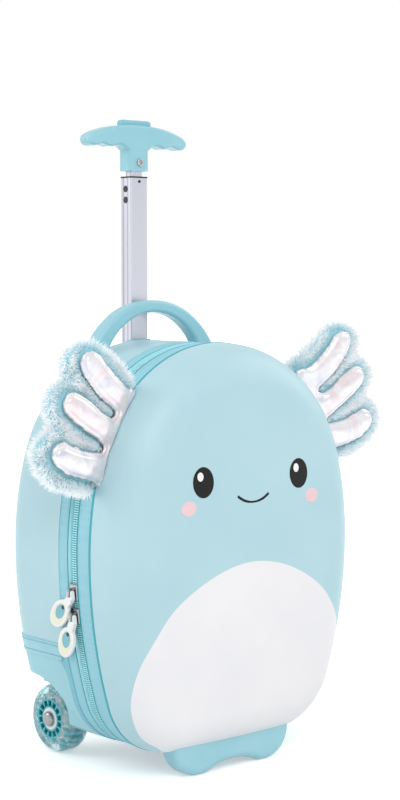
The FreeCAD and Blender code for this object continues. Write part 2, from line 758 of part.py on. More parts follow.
for side in (-1, 1):
    outward = V(side * math.sin(leg_angle), 0, math.cos(leg_angle))
    seat = top_radius - anchor_inset - anchor_wall
    middle_y = handle_y + handle_depth / 2
    room = Part.makeBox(anchor_length, handle_depth, anchor_length,
                        V(-anchor_length / 2, -handle_depth / 2, seat - anchor_length / 2))
    room.Placement = FreeCAD.Placement(V(0, middle_y, top_centre_z), FreeCAD.Rotation(upward, outward))
    anchor = anchor_shell.common(room)
    for sign in (-1, 1):
        reach = V(outward).multiply(seat)
        place = V(0, middle_y + sign * handle_screw_spacing / 2, top_centre_z).add(reach)
        inward = V(outward).multiply(-1)
        length = anchor_wall + anchor_inset + handle_screw_depth
        handle_screws.append(screw(place, inward, length))
        hole = screw_hole(place, inward, length)
        anchor = anchor.cut(hole).cut(head_room(place, inward))
        carry_handle = carry_handle.cut(hole)
        rear_shell = rear_shell.cut(hole)
        rear_lining = rear_lining.cut(hole)
    handle_anchors.append(anchor)

# Telescopic pole
mid_bottom = mid_top - mid_length
mid_tube = rounded_bar(mid_width, mid_depth, mid_corner_radius, mid_bottom, mid_top, pole_centre)
mid_bore_width = mid_width - 2 * mid_wall
mid_bore_depth = mid_depth - 2 * mid_wall
mid_bore_radius = mid_corner_radius - mid_wall
mid_tube = mid_tube.cut(rounded_bar(mid_bore_width, mid_bore_depth, mid_bore_radius,
                                    mid_bottom - overrun, mid_top + overrun, pole_centre))
inner_hole_width = inner_width + 2 * slide_gap
inner_hole_depth = inner_depth + 2 * slide_gap
inner_hole_radius = inner_corner_radius + slide_gap
collar_top = mid_top + mid_collar_height
mid_collar = rounded_bar(mid_width + 2 * mid_collar_proud, mid_depth + 2 * mid_collar_proud,
                         mid_corner_radius + mid_collar_proud, mid_top, collar_top, pole_centre)
mid_collar = mid_collar.fuse(rounded_bar(mid_bore_width, mid_bore_depth, mid_bore_radius,
                                         mid_top - mid_collar_sleeve, mid_top, pole_centre))
pip_out_x = pip_gap - slide_gap - mid_width / 2
for drop in pip_drops:
    pip_z = mid_top - drop
    pip = side_cylinder(pip_radius, pip_out_x, -mid_bore_width / 2 + mid_wall, pole_y, pip_z)
    mid_collar = mid_collar.fuse(pip)
    mid_tube = mid_tube.cut(side_cylinder(pip_radius, -mid_width, 0, pole_y, pip_z))
tab_front_y = pole_y - mid_depth / 2 - mid_collar_proud
tab_z = mid_top - front_tab_drop
tab = Part.makeCylinder(front_tab_radius, mid_collar_proud + 2 * mid_wall, V(0, tab_front_y, tab_z), rearward)
tab_hole = Part.makeCylinder(front_tab_radius, mid_collar_proud + mid_wall + overrun,
                             V(0, tab_front_y - overrun, tab_z), rearward)
mid_tube = mid_tube.cut(tab_hole)
mid_collar = mid_collar.fuse(tab)
sleeve_low = mid_top - mid_collar_sleeve
mid_collar = mid_collar.cut(rounded_bar(inner_hole_width, inner_hole_depth, inner_hole_radius,
                                        sleeve_low - overrun, collar_top + overrun, pole_centre))
mid_plug_top = mid_bottom + mid_plug_height
mid_plug_low = mid_bottom - mid_plug_flange
mid_plug = rounded_bar(mid_bore_width, mid_bore_depth, mid_bore_radius, mid_bottom, mid_plug_top, pole_centre)
mid_plug = mid_plug.fuse(rounded_bar(mid_width, mid_depth, mid_corner_radius,
                                     mid_plug_low, mid_bottom, pole_centre))

inner_bottom = mid_plug_top + inner_low_travel + end_gap
grip_bottom = collar_top + inner_low_travel + grip_rest_gap
inner_top = grip_bottom + stem_socket_depth
inner_tube = rounded_bar(inner_width, inner_depth, inner_corner_radius, inner_bottom, inner_top, pole_centre)
inner_bore_width = inner_width - 2 * inner_wall
inner_bore_depth = inner_depth - 2 * inner_wall
inner_bore_radius = inner_corner_radius - inner_wall
inner_tube = inner_tube.cut(rounded_bar(inner_bore_width, inner_bore_depth, inner_bore_radius,
                                        inner_bottom - overrun, inner_top + overrun, pole_centre))
inner_plug = rounded_bar(inner_bore_width, inner_bore_depth, inner_bore_radius,
                         inner_bottom, inner_bottom + inner_plug_height, pole_centre)

# Lock pin in the inner plug, worked by a peg on the release rod
pin_z = inner_bottom + pin_height
pin_tip_x = mid_bore_width / 2 - pin_tip_gap
pin_front_y = pole_y - inner_bore_depth / 2 + rod_gap
pin_back_y = pin_front_y + pin_block_depth
block_right_x = pin_block_width / 2 + pin_peg_side + pin_travel / 2
block_left_x = block_right_x - pin_block_width
pin_axis_y = (pin_front_y + pin_back_y) / 2
lock_pin = box_between(V(block_left_x, pin_front_y, pin_z - pin_block_height / 2),
                       V(block_right_x, pin_back_y, pin_z + pin_block_height / 2))
lock_nose = side_cylinder(pin_radius - rod_gap / 2, 0, pin_tip_x, pin_axis_y, pin_z)
lock_pin = lock_pin.fuse(lock_nose)
peg_x = rod_side
peg_z = pin_z + button_travel / 2
slot_radius = rod_peg_radius + rod_gap
slot_across = V(button_travel, 0, pin_travel).multiply(slot_radius / math.hypot(button_travel, pin_travel))
slot_start = V(peg_x, pin_front_y - overrun, peg_z)
slot_end = V(peg_x + pin_travel, pin_front_y - overrun, peg_z - button_travel)
slot_corners = [slot_start.add(slot_across), slot_end.add(slot_across), slot_end.sub(slot_across),
                slot_start.sub(slot_across), slot_start.add(slot_across)]
cam_slot = Part.Face(Part.makePolygon(slot_corners)).extrude(V(0, pin_block_depth + 2 * overrun, 0))
for end in (slot_start, slot_end):
    cam_slot = cam_slot.fuse(Part.makeCylinder(slot_radius, pin_block_depth + 2 * overrun, end, rearward))
lock_pin = lock_pin.cut(cam_slot)

pin_room = box_between(
    V(-inner_bore_width, pole_y - inner_depth, pin_z - pin_block_height / 2 - rod_gap),
    V(inner_bore_width, pin_back_y + rod_gap, pin_z + pin_block_height / 2 + rod_gap))
pin_wall = box_between(V(block_right_x + rod_gap, pole_y - inner_depth, inner_bottom),
                       V(inner_width, pole_y + inner_depth, inner_bottom + inner_plug_height))
inner_plug = inner_plug.cut(pin_room.cut(pin_wall))
nose_hole = side_cylinder(pin_radius + running_gap, 0, mid_width / 2, pin_axis_y, pin_z)
inner_plug = inner_plug.cut(nose_hole)
inner_tube = inner_tube.cut(nose_hole)
for travel in (-inner_low_travel, inner_high_travel):
    lock_hole = side_cylinder(pin_radius + lock_hole_gap, 0, mid_width, pin_axis_y, pin_z + travel)
    mid_tube = mid_tube.cut(lock_hole)

# Grip with its stem, button pocket and bores
grip_top = grip_bottom + grip_height
grip_half = grip_length / 2
arm_low = grip_bottom + stem_height
arm_height = grip_top - arm_low
outline_points = []
for x_share, z_share in grip_outline_shares:
    outline_points.append(V(x_share * grip_half, pole_y - grip_depth / 2, arm_low + z_share * arm_height))
outline_points.append(V(0, pole_y - grip_depth / 2, arm_low + grip_low_share * arm_height))
for x_share, z_share in reversed(grip_outline_shares[1:]):
    outline_points.append(V(-x_share * grip_half, pole_y - grip_depth / 2, arm_low + z_share * arm_height))
grip = Part.Face(smooth_loop(outline_points)).extrude(V(0, grip_depth, 0))
grip_rims = []
for edge in grip.Edges:
    if edge.BoundBox.YLength < running_gap:
        grip_rims.append(edge)
grip = grip.makeFillet(grip_edge_radius, grip_rims)
stem = rounded_bar(stem_width, stem_depth, stem_corner_radius,
                   grip_bottom, arm_low + arm_height / 2, pole_centre)
grip = grip.fuse(stem)
grip = grip.cut(rounded_bar(inner_width, inner_depth, inner_corner_radius,
                            grip_bottom - overrun, inner_top, pole_centre))
pocket_floor = grip_top - pocket_floor_depth
pocket = rounded_bar(button_width + 2 * slide_gap, button_depth + 2 * slide_gap,
                     button_edge_radius + slide_gap, pocket_floor, grip_top + overrun, pole_centre)
grip = grip.cut(pocket)
rod_x = rod_side
rod_y = pole_y + rod_back
rod_bore = Part.makeCylinder(rod_radius + rod_gap, pocket_floor + overrun - inner_top + overrun,
                             V(rod_x, rod_y, inner_top - overrun))
grip = grip.cut(rod_bore)
rod_low = peg_z - rod_peg_radius - rod_gap
rod_plug_bore = Part.makeCylinder(rod_radius + rod_gap, inner_plug_height + 2 * overrun,
                                  V(rod_x, rod_y, rod_low - button_travel - rod_gap))
inner_plug = inner_plug.cut(rod_plug_bore)
peg_room = box_between(V(rod_x - rod_radius - rod_gap, pin_back_y, peg_z - button_travel - slot_radius),
                       V(rod_x + rod_radius + rod_gap, rod_y, peg_z + slot_radius))
inner_plug = inner_plug.cut(peg_room)

grip_screw_place = V(0, pole_y - stem_depth / 2, grip_bottom + grip_screw_height)
grip_screw_length = (stem_depth - inner_depth) / 2 + inner_wall
grip_screw = screw(grip_screw_place, V(0, -1, 0), grip_screw_length)
grip_screw_bore = screw_hole(grip_screw_place, V(0, -1, 0), grip_screw_length)
grip = grip.cut(grip_screw_bore)
inner_tube = inner_tube.cut(grip_screw_bore)

button_top = grip_top + button_proud
button_low = button_top - button_height
button = rounded_bar(button_width, button_depth, button_edge_radius, button_low, button_top, pole_centre)
button_rim = []
for edge in button.Edges:
    if edge.BoundBox.ZMin > button_top - running_gap:
        button_rim.append(edge)
button = button.makeFillet(button_edge_radius, button_rim)
release_rod = Part.makeCylinder(rod_radius, button_low - rod_low, V(rod_x, rod_y, rod_low))
release_peg = Part.makeCylinder(rod_peg_radius, rod_y - pin_front_y, V(peg_x, pin_front_y, peg_z), rearward)
release_rod = release_rod.fuse(release_peg)
spring_bore = spring_radius - spring_wire
spring_centre = V(-spring_side, pole_y, pocket_floor)
button_spring = Part.makeCylinder(spring_radius, button_low - pocket_floor, spring_centre)
button_spring = button_spring.cut(Part.makeCylinder(spring_bore, button_low - pocket_floor, spring_centre))

# Wheels on their bolts
def wheel_parts(side):
    outer_x = side * wheel_outer_x
    inner_x = side * wheel_inner_x
    outward = V(side, 0, 0)
    tyre = side_cylinder(wheel_radius, outer_x, inner_x, axle_y, axle_z)
    rims = []
    for edge in tyre.Edges:
        if edge.BoundBox.XLength < running_gap:
            rims.append(edge)
    tyre = tyre.makeFillet(tyre_shoulder_radius, rims)
    tyre = tyre.cut(side_cylinder(hub_radius + running_gap, outer_x + outward.x * overrun,
                                  inner_x - outward.x * overrun, axle_y, axle_z))
    hub = side_cylinder(hub_radius, outer_x, inner_x, axle_y, axle_z)
    for index in range(hub_cell_count):
        angle = 2 * math.pi * index / hub_cell_count
        reach = (hub_radius + bush_radius) / 2
        cell = Part.makeBox(hub_cell_depth + overrun, hub_cell_width, hub_cell_length,
                            V(0, -hub_cell_width / 2, reach - hub_cell_length / 2))
        low_x = min(outer_x - outward.x * hub_cell_depth, outer_x + outward.x * overrun)
        turn = FreeCAD.Rotation(right, math.degrees(angle))
        cell.Placement = FreeCAD.Placement(V(low_x, axle_y, axle_z), turn)
        hub = hub.cut(cell)
    hub = hub.cut(side_cylinder(axle_radius + arm_gap, outer_x + outward.x * overrun,
                                inner_x - outward.x * overrun, axle_y, axle_z))
    bushes = []
    for start_x, end_x in ((outer_x, outer_x - side * bush_length), (inner_x, inner_x + side * bush_length)):
        past_x = start_x + (start_x - end_x)
        hub = hub.cut(side_cylinder(bush_radius + running_gap, past_x, end_x, axle_y, axle_z))
        bush = side_cylinder(bush_radius, start_x, end_x, axle_y, axle_z)
        bush = bush.cut(side_cylinder(axle_radius + running_gap, past_x,
                                      end_x - (start_x - end_x), axle_y, axle_z))
        bushes.append(bush)
    head_x = outer_x + side * end_gap
    bolt = side_cylinder(bolt_head_radius, head_x, head_x + side * bolt_head_height, axle_y, axle_z)
    crown = []
    for edge in bolt.Edges:
        box = edge.BoundBox
        if box.XLength < running_gap and abs(box.XMin - head_x) > running_gap:
            crown.append(edge)
    bolt = bolt.makeFillet(bolt_head_height * bolt_crown_share, crown)
    bolt = bolt.fuse(side_cylinder(axle_radius, head_x, side * bolt_end_x, axle_y, axle_z))
    bolt = bolt.fuse(side_cylinder(axle_shoulder_radius, inner_x - side * end_gap,
                                   side * arm_outer_x, axle_y, axle_z))
    corners = []
    for index in range(nut_side_count + 1):
        angle = 2 * math.pi * index / nut_side_count
        corner_y = axle_y + nut_reach * math.cos(angle)
        corners.append(V(side * arm_inner_x, corner_y, axle_z + nut_reach * math.sin(angle)))
    nut = Part.Face(Part.makePolygon(corners)).extrude(V(-side * nut_height, 0, 0))
    nut = nut.cut(side_cylinder(axle_radius + screw_gap, side * (arm_inner_x + overrun),
                                side * (arm_inner_x - nut_height - overrun), axle_y, axle_z))
    return tyre, hub, bushes, bolt, nut


left_tyre, left_hub, left_bushes, left_bolt, left_nut = wheel_parts(-1)
right_tyre, right_hub, right_bushes, right_bolt, right_nut = wheel_parts(1)


# Zip sliders and pull tags, made at the widest height and turned down along the side
def slider_parts(drop, lean):
    plate_in_x = coil_inset - slider_gap - half_width
    plate_out_x = plate_in_x - slider_plate
    slider = box_between(V(plate_out_x, parting_y - slider_width / 2, widest_z - slider_length / 2),
                         V(plate_in_x, parting_y + slider_width / 2, widest_z + slider_length / 2))
    outer_edges = []
    for edge in slider.Edges:
        box = edge.BoundBox
        if box.XMax < plate_out_x + running_gap:
            outer_edges.append(edge)
    slider = slider.makeFillet(slider_edge_radius, outer_edges)
    flange_front_y = coil_rear_y + coil_width + slider_gap
    flange_in_x = lip_inset - slider_gap - half_width
    slider = slider.fuse(box_between(
        V(plate_in_x, flange_front_y, widest_z - slider_length / 2),
        V(flange_in_x, flange_front_y + slider_flange, widest_z + slider_length / 2)))
    bail_out_x = plate_out_x - bail_height
    bail = box_between(V(bail_out_x, parting_y - bail_width / 2, widest_z - bail_length / 2),
                       V(plate_out_x, parting_y + bail_width / 2, widest_z + bail_length / 2))
    crests = []
    for edge in bail.Edges:
        box = edge.BoundBox
        if box.XMax < bail_out_x + running_gap and box.YLength > bail_width / 2:
            crests.append(edge)
    bail = bail.makeFillet(bail_height / 2, crests)
    pin_x = bail_out_x + bail_height / 2
    pin_start = V(pin_x, parting_y - slider_width, widest_z)
    slider = slider.fuse(bail).cut(
        Part.makeCylinder(pull_pin_radius + running_gap, 2 * slider_width, pin_start, rearward))

    ear_side = bail_width / 2 + pull_ear_gap
    ear_out = ear_side + pull_ear_wall
    pull = Part.makeCylinder(pull_pin_radius, 2 * ear_out, V(pin_x, parting_y - ear_out, widest_z), rearward)
    ear_low = widest_z - pull_neck_length
    bridge_top = widest_z - bail_length / 2 - pull_ear_gap
    for sign in (-1, 1):
        ear_from = parting_y + min(sign * ear_side, sign * ear_out)
        ear_place = V(pin_x, ear_from, widest_z)
        pull = pull.fuse(Part.makeCylinder(pull_wall / 2, pull_ear_wall, ear_place, rearward))
        pull = pull.fuse(box_between(V(pin_x - pull_wall / 2, ear_from, ear_low),
                                     V(pin_x + pull_wall / 2, ear_from + pull_ear_wall, widest_z)))
    pull = pull.fuse(box_between(V(pin_x - pull_wall / 2, parting_y - ear_out, ear_low),
                                 V(pin_x + pull_wall / 2, parting_y + ear_out, bridge_top)))
    bridge_middle = V(pin_x, parting_y, (ear_low + bridge_top) / 2)
    tag_place = FreeCAD.Placement(bridge_middle, FreeCAD.Rotation(right, lean))
    tag_middle = pull_link_length + pull_length / 2

    def oval(length, width, from_x, to_x, rise):
        curve = Part.Ellipse(V(0, 0, 0), length / 2, width / 2).toShape()
        block = Part.Face(Part.Wire([curve])).extrude(V(0, 0, to_x - from_x))
        block.Placement = FreeCAD.Placement(V(from_x, 0, rise - tag_middle), FreeCAD.Rotation(upward, right))
        return block

    half_wall = pull_wall / 2
    tag = oval(pull_length, pull_width, -half_wall, half_wall, 0)
    tag_rims = []
    for edge in tag.Edges:
        if edge.BoundBox.XLength < running_gap:
            tag_rims.append(edge)
    tag = tag.makeFillet(pull_edge_radius, tag_rims)
    link_low = V(-half_wall, -pull_link_width / 2, -pull_link_length - pull_link_lap)
    link = box_between(link_low, V(half_wall, pull_link_width / 2, 0))
    tag = tag.fuse(link)
    inlay_floor = pull_inlay_depth - half_wall
    inlay = oval(pull_inlay_length, pull_inlay_width, -half_wall, inlay_floor, pull_inlay_rise)
    tag = tag.cut(oval(pull_inlay_length, pull_inlay_width, -half_wall - overrun, inlay_floor,
                       pull_inlay_rise))
    hole_start = V(-pull_wall, 0, -pull_link_length - pull_hole_drop)
    hole = Part.makeCylinder(pull_hole_radius, 2 * pull_wall, hole_start, right)
    tag = tag.cut(hole)
    inlay = inlay.cut(hole)
    tag.Placement = tag_place.multiply(tag.Placement)
    inlay.Placement = tag_place.multiply(inlay.Placement)
    pull = pull.fuse(tag)
    turn = math.degrees(math.asin(drop / lower_side_radius))
    centre = V(-lower_centre_x, 0, widest_z)
    for shape in (slider, pull, inlay):
        shape.rotate(centre, rearward, -turn)
    return slider, pull, inlay


upper_slider, upper_pull, upper_inlay = slider_parts(upper_slider_drop, pull_lean_angles[0])
lower_slider, lower_pull, lower_inlay = slider_parts(lower_slider_drop, pull_lean_angles[1])


# Plush side fins: a fur pad with three padded fingers on its front
def fin_point(shares, y):
    # Place on the right-hand fin from its reach and span shares
    angle = math.radians(fin_root_angle)
    outward = top_radius + fin_reach * shares[0]
    along = fin_span * shares[1]
    x = outward * math.cos(angle) - along * math.sin(angle)
    z = outward * math.sin(angle) + along * math.cos(angle)
    return V(x, y, top_centre_z + z)


def fin_parts(side, lift):
    pad_front_y = seam_y + fin_pad_back - fin_pad_thickness
    points = [fin_point(shares, pad_front_y) for shares in fin_pad_outline_shares]
    pad = Part.Face(smooth_loop(points)).extrude(V(0, fin_pad_thickness, 0))
    rims = []
    for edge in pad.Edges:
        if edge.BoundBox.YLength < running_gap:
            rims.append(edge)
    pad = pad.makeFillet(fin_pad_edge_radius, rims)
    fingers = []
    for root_shares, tip_shares in zip(fin_finger_root_shares, fin_finger_tip_shares):
        root = fin_point(root_shares, pad_front_y)
        along = fin_point(tip_shares, pad_front_y).sub(root)
        across = V(-along.z, 0, along.x).normalize()
        sections = []
        for station, width, thickness in zip(fin_finger_station_shares, fin_finger_width_shares,
                                             fin_finger_thickness_shares):
            middle = root.add(V(along).multiply(station))
            reach = V(across).multiply(width * fin_finger_width / 2)
            crest = middle.sub(V(0, thickness * fin_finger_thickness, 0))
            low = middle.sub(reach)
            high = middle.add(reach)
            sections.append(Part.Wire([Part.Arc(low, crest, high).toShape(), Part.makeLine(high, low)]))
        fingers.append(Part.makeLoft(sections, True, False))
    foil = fingers[0].fuse(fingers[1:])
    tilt_axis_share = -fin_axis_inset / fin_reach
    tilt_place = fin_point((tilt_axis_share, 0), seam_y)
    tilt_line = fin_point((tilt_axis_share, -1), seam_y).sub(tilt_place)
    case_room = case_block(-fin_clearance, seam_y - case_width, rear_y)
    shapes = []
    for shape in (pad, foil):
        shape.rotate(tilt_place, tilt_line, fin_tilt_angle)
        shape.translate(V(0, 0, lift))
        shape = shape.cut(case_room)
        if side < 0:
            shape = shape.mirror(V(0, 0, 0), right)
        shapes.append(shape)
    return shapes


left_fin_fur, left_fin_foil = fin_parts(-1, fin_lifts[0])
right_fin_fur, right_fin_foil = fin_parts(1, fin_lifts[1])

nodes = {
    "rear_shell": rear_shell,
    "rear_band": rear_band,
    "rear_zip_tape": rear_tape,
    "rear_lining": rear_lining,
    "wheel_base": wheel_base,
    "base_screws": base_screws,
    "left_axle_bolt": left_bolt,
    "right_axle_bolt": right_bolt,
    "axle_nuts": [left_nut, right_nut],
    "pole_guide_tube": guide_tube,
    "pole_collar": pole_collar,
    "pole_foot": pole_foot,
    "pole_foot_screws": pole_foot_screws,
    "pole_cover": pole_cover,
    "carry_handle": carry_handle,
    "handle_anchors": handle_anchors,
    "handle_screws": handle_screws,
    "hinge_strip": hinge_strip,
    "front_dome": front_dome,
    "belly_panel": belly_panel,
    "piping": piping,
    "front_band": front_band,
    "front_zip_tape": front_tape,
    "front_lining": front_lining,
    "front_foot": front_foot,
    "foot_screws": foot_screws,
    "left_fin_fur": left_fin_fur,
    "left_fin_foil": left_fin_foil,
    "right_fin_fur": right_fin_fur,
    "right_fin_foil": right_fin_foil,
    "left_tyre": left_tyre,
    "left_hub": left_hub,
    "left_bushes": left_bushes,
    "right_tyre": right_tyre,
    "right_hub": right_hub,
    "right_bushes": right_bushes,
    "mid_tube": mid_tube,
    "mid_collar": mid_collar,
    "mid_plug": mid_plug,
    "inner_tube": inner_tube,
    "inner_plug": inner_plug,
    "grip": grip,
    "grip_screw": grip_screw,
    "button": button,
    "release_rod": release_rod,
    "button_spring": button_spring,
    "lock_pin": lock_pin,
    "upper_slider": upper_slider,
    "upper_pull": upper_pull,
    "upper_pull_inlay": upper_inlay,
    "lower_slider": lower_slider,
    "lower_pull": lower_pull,
    "lower_pull_inlay": lower_inlay,
}

os.makedirs("parts", exist_ok=True)
for name, shape in nodes.items():
    solids = shape if isinstance(shape, list) else [shape]
    found = []
    for piece in solids:
        found.extend(piece.Solids)
    result = found[0] if len(found) == 1 else Part.makeCompound(found)
    box = result.BoundBox
    print(f"{name}: {len(found)} solid(s), valid {result.isValid()}, volume {result.Volume:.0f}, "
          f"x {box.XMin:.1f} {box.XMax:.1f} y {box.YMin:.1f} {box.YMax:.1f} z {box.ZMin:.1f} {box.ZMax:.1f}")
    result.exportStep(os.path.join("parts", name + ".step"))
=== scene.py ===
import json
import math

import bpy
import numpy as np
from mathutils import Matrix, Vector, noise


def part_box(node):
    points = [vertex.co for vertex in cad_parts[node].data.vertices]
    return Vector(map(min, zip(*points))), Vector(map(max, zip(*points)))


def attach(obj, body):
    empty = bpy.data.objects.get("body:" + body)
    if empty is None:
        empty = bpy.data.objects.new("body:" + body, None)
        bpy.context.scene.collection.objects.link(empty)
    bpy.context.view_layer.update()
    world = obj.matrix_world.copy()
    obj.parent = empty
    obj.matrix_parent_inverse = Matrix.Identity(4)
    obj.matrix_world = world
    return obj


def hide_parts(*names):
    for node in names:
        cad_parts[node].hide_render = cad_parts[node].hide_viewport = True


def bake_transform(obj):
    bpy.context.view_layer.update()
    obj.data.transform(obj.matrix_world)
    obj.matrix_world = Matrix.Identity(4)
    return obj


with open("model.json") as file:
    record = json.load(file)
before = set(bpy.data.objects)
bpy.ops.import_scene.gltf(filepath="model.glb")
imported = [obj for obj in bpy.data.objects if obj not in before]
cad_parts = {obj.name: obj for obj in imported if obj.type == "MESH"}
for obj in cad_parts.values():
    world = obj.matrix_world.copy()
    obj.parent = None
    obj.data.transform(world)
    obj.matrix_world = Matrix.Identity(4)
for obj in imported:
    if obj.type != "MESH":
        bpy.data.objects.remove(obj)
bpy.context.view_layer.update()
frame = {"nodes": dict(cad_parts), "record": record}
nodes = frame["nodes"]
mm = 0.001

# Photograph and camera, fitted to the object
photo_height = 800
focal_pixels = 1787
sensor_size = 36
camera_place = (-1.1593, -1.3404, 0.4773)
camera_heading = math.radians(-41.6)
camera_pitch = math.radians(4.0)

# Case outline, as in the solid model
dome_front_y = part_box("front_dome")[0].y
half_width = 155 * mm
top_z = 412 * mm
bottom_z = 23 * mm
widest_height_share = 0.498
upper_side_radius = 320 * mm
lower_side_radius = 480 * mm
bottom_corner_radius = 73 * mm
band_inset = 0.8 * mm
coil_inset = 3.0 * mm
tape_inset = 5.4 * mm
hinge_strip_height = 150 * mm
seam_y = (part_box("piping")[0].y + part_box("piping")[1].y) / 2
zip_front_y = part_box("front_band")[1].y
zip_rear_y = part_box("rear_band")[0].y
parting_y = (zip_front_y + zip_rear_y) / 2
zip_half_width = (zip_rear_y - zip_front_y) / 2
groove_shade_width = 2.0 * mm
wall_edge = 0.1 * mm
coil_width = 2.9 * mm
coil_gap = 0.3 * mm

# Side fins, as in the solid model
fin_reach = 95 * mm
fin_span = 150 * mm
fin_root_angle = math.radians(27)
fin_axis_inset = 7 * mm
fin_lifts = {-1: -5.5 * mm, 1: 5.5 * mm}
fin_tilt_angle = math.radians(2)
fin_pad_front = seam_y - 9 * mm
fin_clearance = 0.8 * mm

# Places worked out from the outline
widest_z = bottom_z + (top_z - bottom_z) * widest_height_share
upper_centre_x = half_width - upper_side_radius
lower_centre_x = half_width - lower_side_radius
top_rise = top_z - widest_z
top_radius = (upper_side_radius**2 - upper_centre_x**2 - top_rise**2) / (2 * (upper_side_radius - top_rise))
top_centre_z = top_z - top_radius
corner_centre_z = bottom_z + bottom_corner_radius
corner_reach = math.sqrt((lower_side_radius - bottom_corner_radius)**2 - (corner_centre_z - widest_z)**2)
corner_centre_x = lower_centre_x + corner_reach
top_angle = math.atan2(top_centre_z - widest_z, -upper_centre_x)
corner_angle = math.atan2(corner_centre_z - widest_z, corner_reach)


# Small tools
def linear(code):
    """The linear colour of an sRGB hex value."""
    parts = [int(code[i:i + 2], 16) / 255 for i in (1, 3, 5)]
    return [c / 12.92 if c <= 0.04045 else ((c + 0.055) / 1.055)**2.4 for c in parts] + [1]


def add(tree, kind, links=None, inputs=None, stops=None, feeds=(), **settings):
    """Adds a node with its settings, its links and what it feeds."""
    made = tree.nodes.new("ShaderNode" + kind)
    for name, value in settings.items():
        setattr(made, name, value)
    for name, value in (inputs or {}).items():
        made.inputs[name].default_value = value
    for name, (source, output) in (links or {}).items():
        tree.links.new(source.outputs[output], made.inputs[name])
    if stops:
        ramp = made.color_ramp
        while len(ramp.elements) < len(stops):
            ramp.elements.new(0.5)
        for element, (place, colour) in zip(ramp.elements, stops):
            element.position = place
            element.color = linear(colour)
    for output, target, socket in feeds:
        tree.links.new(made.outputs[output], target.inputs[socket])
    return made


def finish(name, colour, roughness, **sockets):
    """A material with its shader's own sockets set, and its Object coordinates."""
    material = bpy.data.materials.new(name)
    material.use_nodes = True
    tree = material.node_tree
    shader = tree.nodes["Principled BSDF"]
    shader.inputs["Base Color"].default_value = linear(colour)
    shader.inputs["Roughness"].default_value = roughness
    for socket, value in sockets.items():
        shader.inputs[socket.replace("_", " ").title().replace("Ior", "IOR")].default_value = value
    coordinates = add(tree, "TexCoord")
    return material, tree, shader, coordinates


def mottle(tree, shader, coordinates, size, colours):
    """Slow colour change over patches of the given size."""
    cloud = add(tree, "TexNoise", links={"Vector": (coordinates, "Object")},
                inputs={"Scale": 1 / size, "Detail": 3.0, "Roughness": 0.55})
    return add(tree, "ValToRGB", links={"Fac": (cloud, "Fac")}, stops=[(0.3, colours[0]), (0.7, colours[1])],
               feeds=[("Color", shader, "Base Color")])


def grain(tree, shader, coordinates, size, depth):
    """Fine raised grain of the given size and depth."""
    pebbles = add(tree, "TexNoise", links={"Vector": (coordinates, "Object")},
                  inputs={"Scale": 1 / size, "Detail": 2.0, "Roughness": 0.5})
    add(tree, "Bump", links={"Height": (pebbles, "Fac")}, inputs={"Strength": 0.6, "Distance": depth},
        feeds=[("Normal", shader, "Normal")])


def alone(piece):
    """Selects one object and makes it active."""
    bpy.ops.object.select_all(action="DESELECT")
    piece.select_set(True)
    bpy.context.view_layer.objects.active = piece


def settle(piece, finish_material, smooth_angle=40):
    """Puts a piece's place in its mesh and gives it its finish."""
    alone(piece)
    bpy.ops.object.transform_apply(location=True, rotation=True, scale=True)
    bpy.ops.object.shade_smooth_by_angle(angle=math.radians(smooth_angle))
    piece.data.materials.clear()
    piece.data.materials.append(finish_material)


def apply_modifiers(piece):
    """Applies a piece's modifiers in their order."""
    alone(piece)
    for modifier in list(piece.modifiers):
        bpy.ops.object.modifier_apply(modifier=modifier.name)


def turn_faces_out(piece):
    """Merges a piece's doubles and turns its faces outwards."""
    alone(piece)
    bpy.ops.object.mode_set(mode="EDIT")
    bpy.ops.mesh.select_all(action="SELECT")
    bpy.ops.mesh.remove_doubles(threshold=0.002 * mm)
    bpy.ops.mesh.normals_make_consistent(inside=False)
    bpy.ops.object.mode_set(mode="OBJECT")


def copies(name, template, points):
    """One object from many placed copies of a template.

    The points are an array of copies by vertices by three."""
    faces = [tuple(face.vertices) for face in template.data.polygons]
    count = len(template.data.vertices)
    all_faces = []
    for index in range(len(points)):
        start = index * count
        all_faces.extend(tuple(start + corner for corner in face) for face in faces)
    mesh = bpy.data.meshes.new(name)
    mesh.from_pydata(np.asarray(points).reshape(-1, 3).tolist(), [], all_faces)
    piece = bpy.data.objects.new(name, mesh)
    bpy.context.scene.collection.objects.link(piece)
    return piece


def template_points(template):
    """A template's vertices as an array."""
    return np.array([vertex.co for vertex in template.data.vertices])


def discard(piece):
    """Deletes a template once it has been copied."""
    alone(piece)
    bpy.ops.object.delete()


def rounded_block(size, rounding, segments, place=(0, 0, 0)):
    """A block with its edges rounded over, to be copied."""
    bpy.ops.object.select_all(action="DESELECT")
    bpy.ops.mesh.primitive_cube_add(size=1, location=place)
    block = bpy.context.object
    block.scale = size
    bpy.ops.object.transform_apply(location=True, rotation=True, scale=True)
    bpy.ops.object.mode_set(mode="EDIT")
    bpy.ops.mesh.bevel(offset=rounding, segments=segments)
    bpy.ops.object.mode_set(mode="OBJECT")
    return block


# Finishes
crease_shade_fade = 8 * mm
wave_scale = 0.314  # the scale at which a band of the wave texture is a metre wide


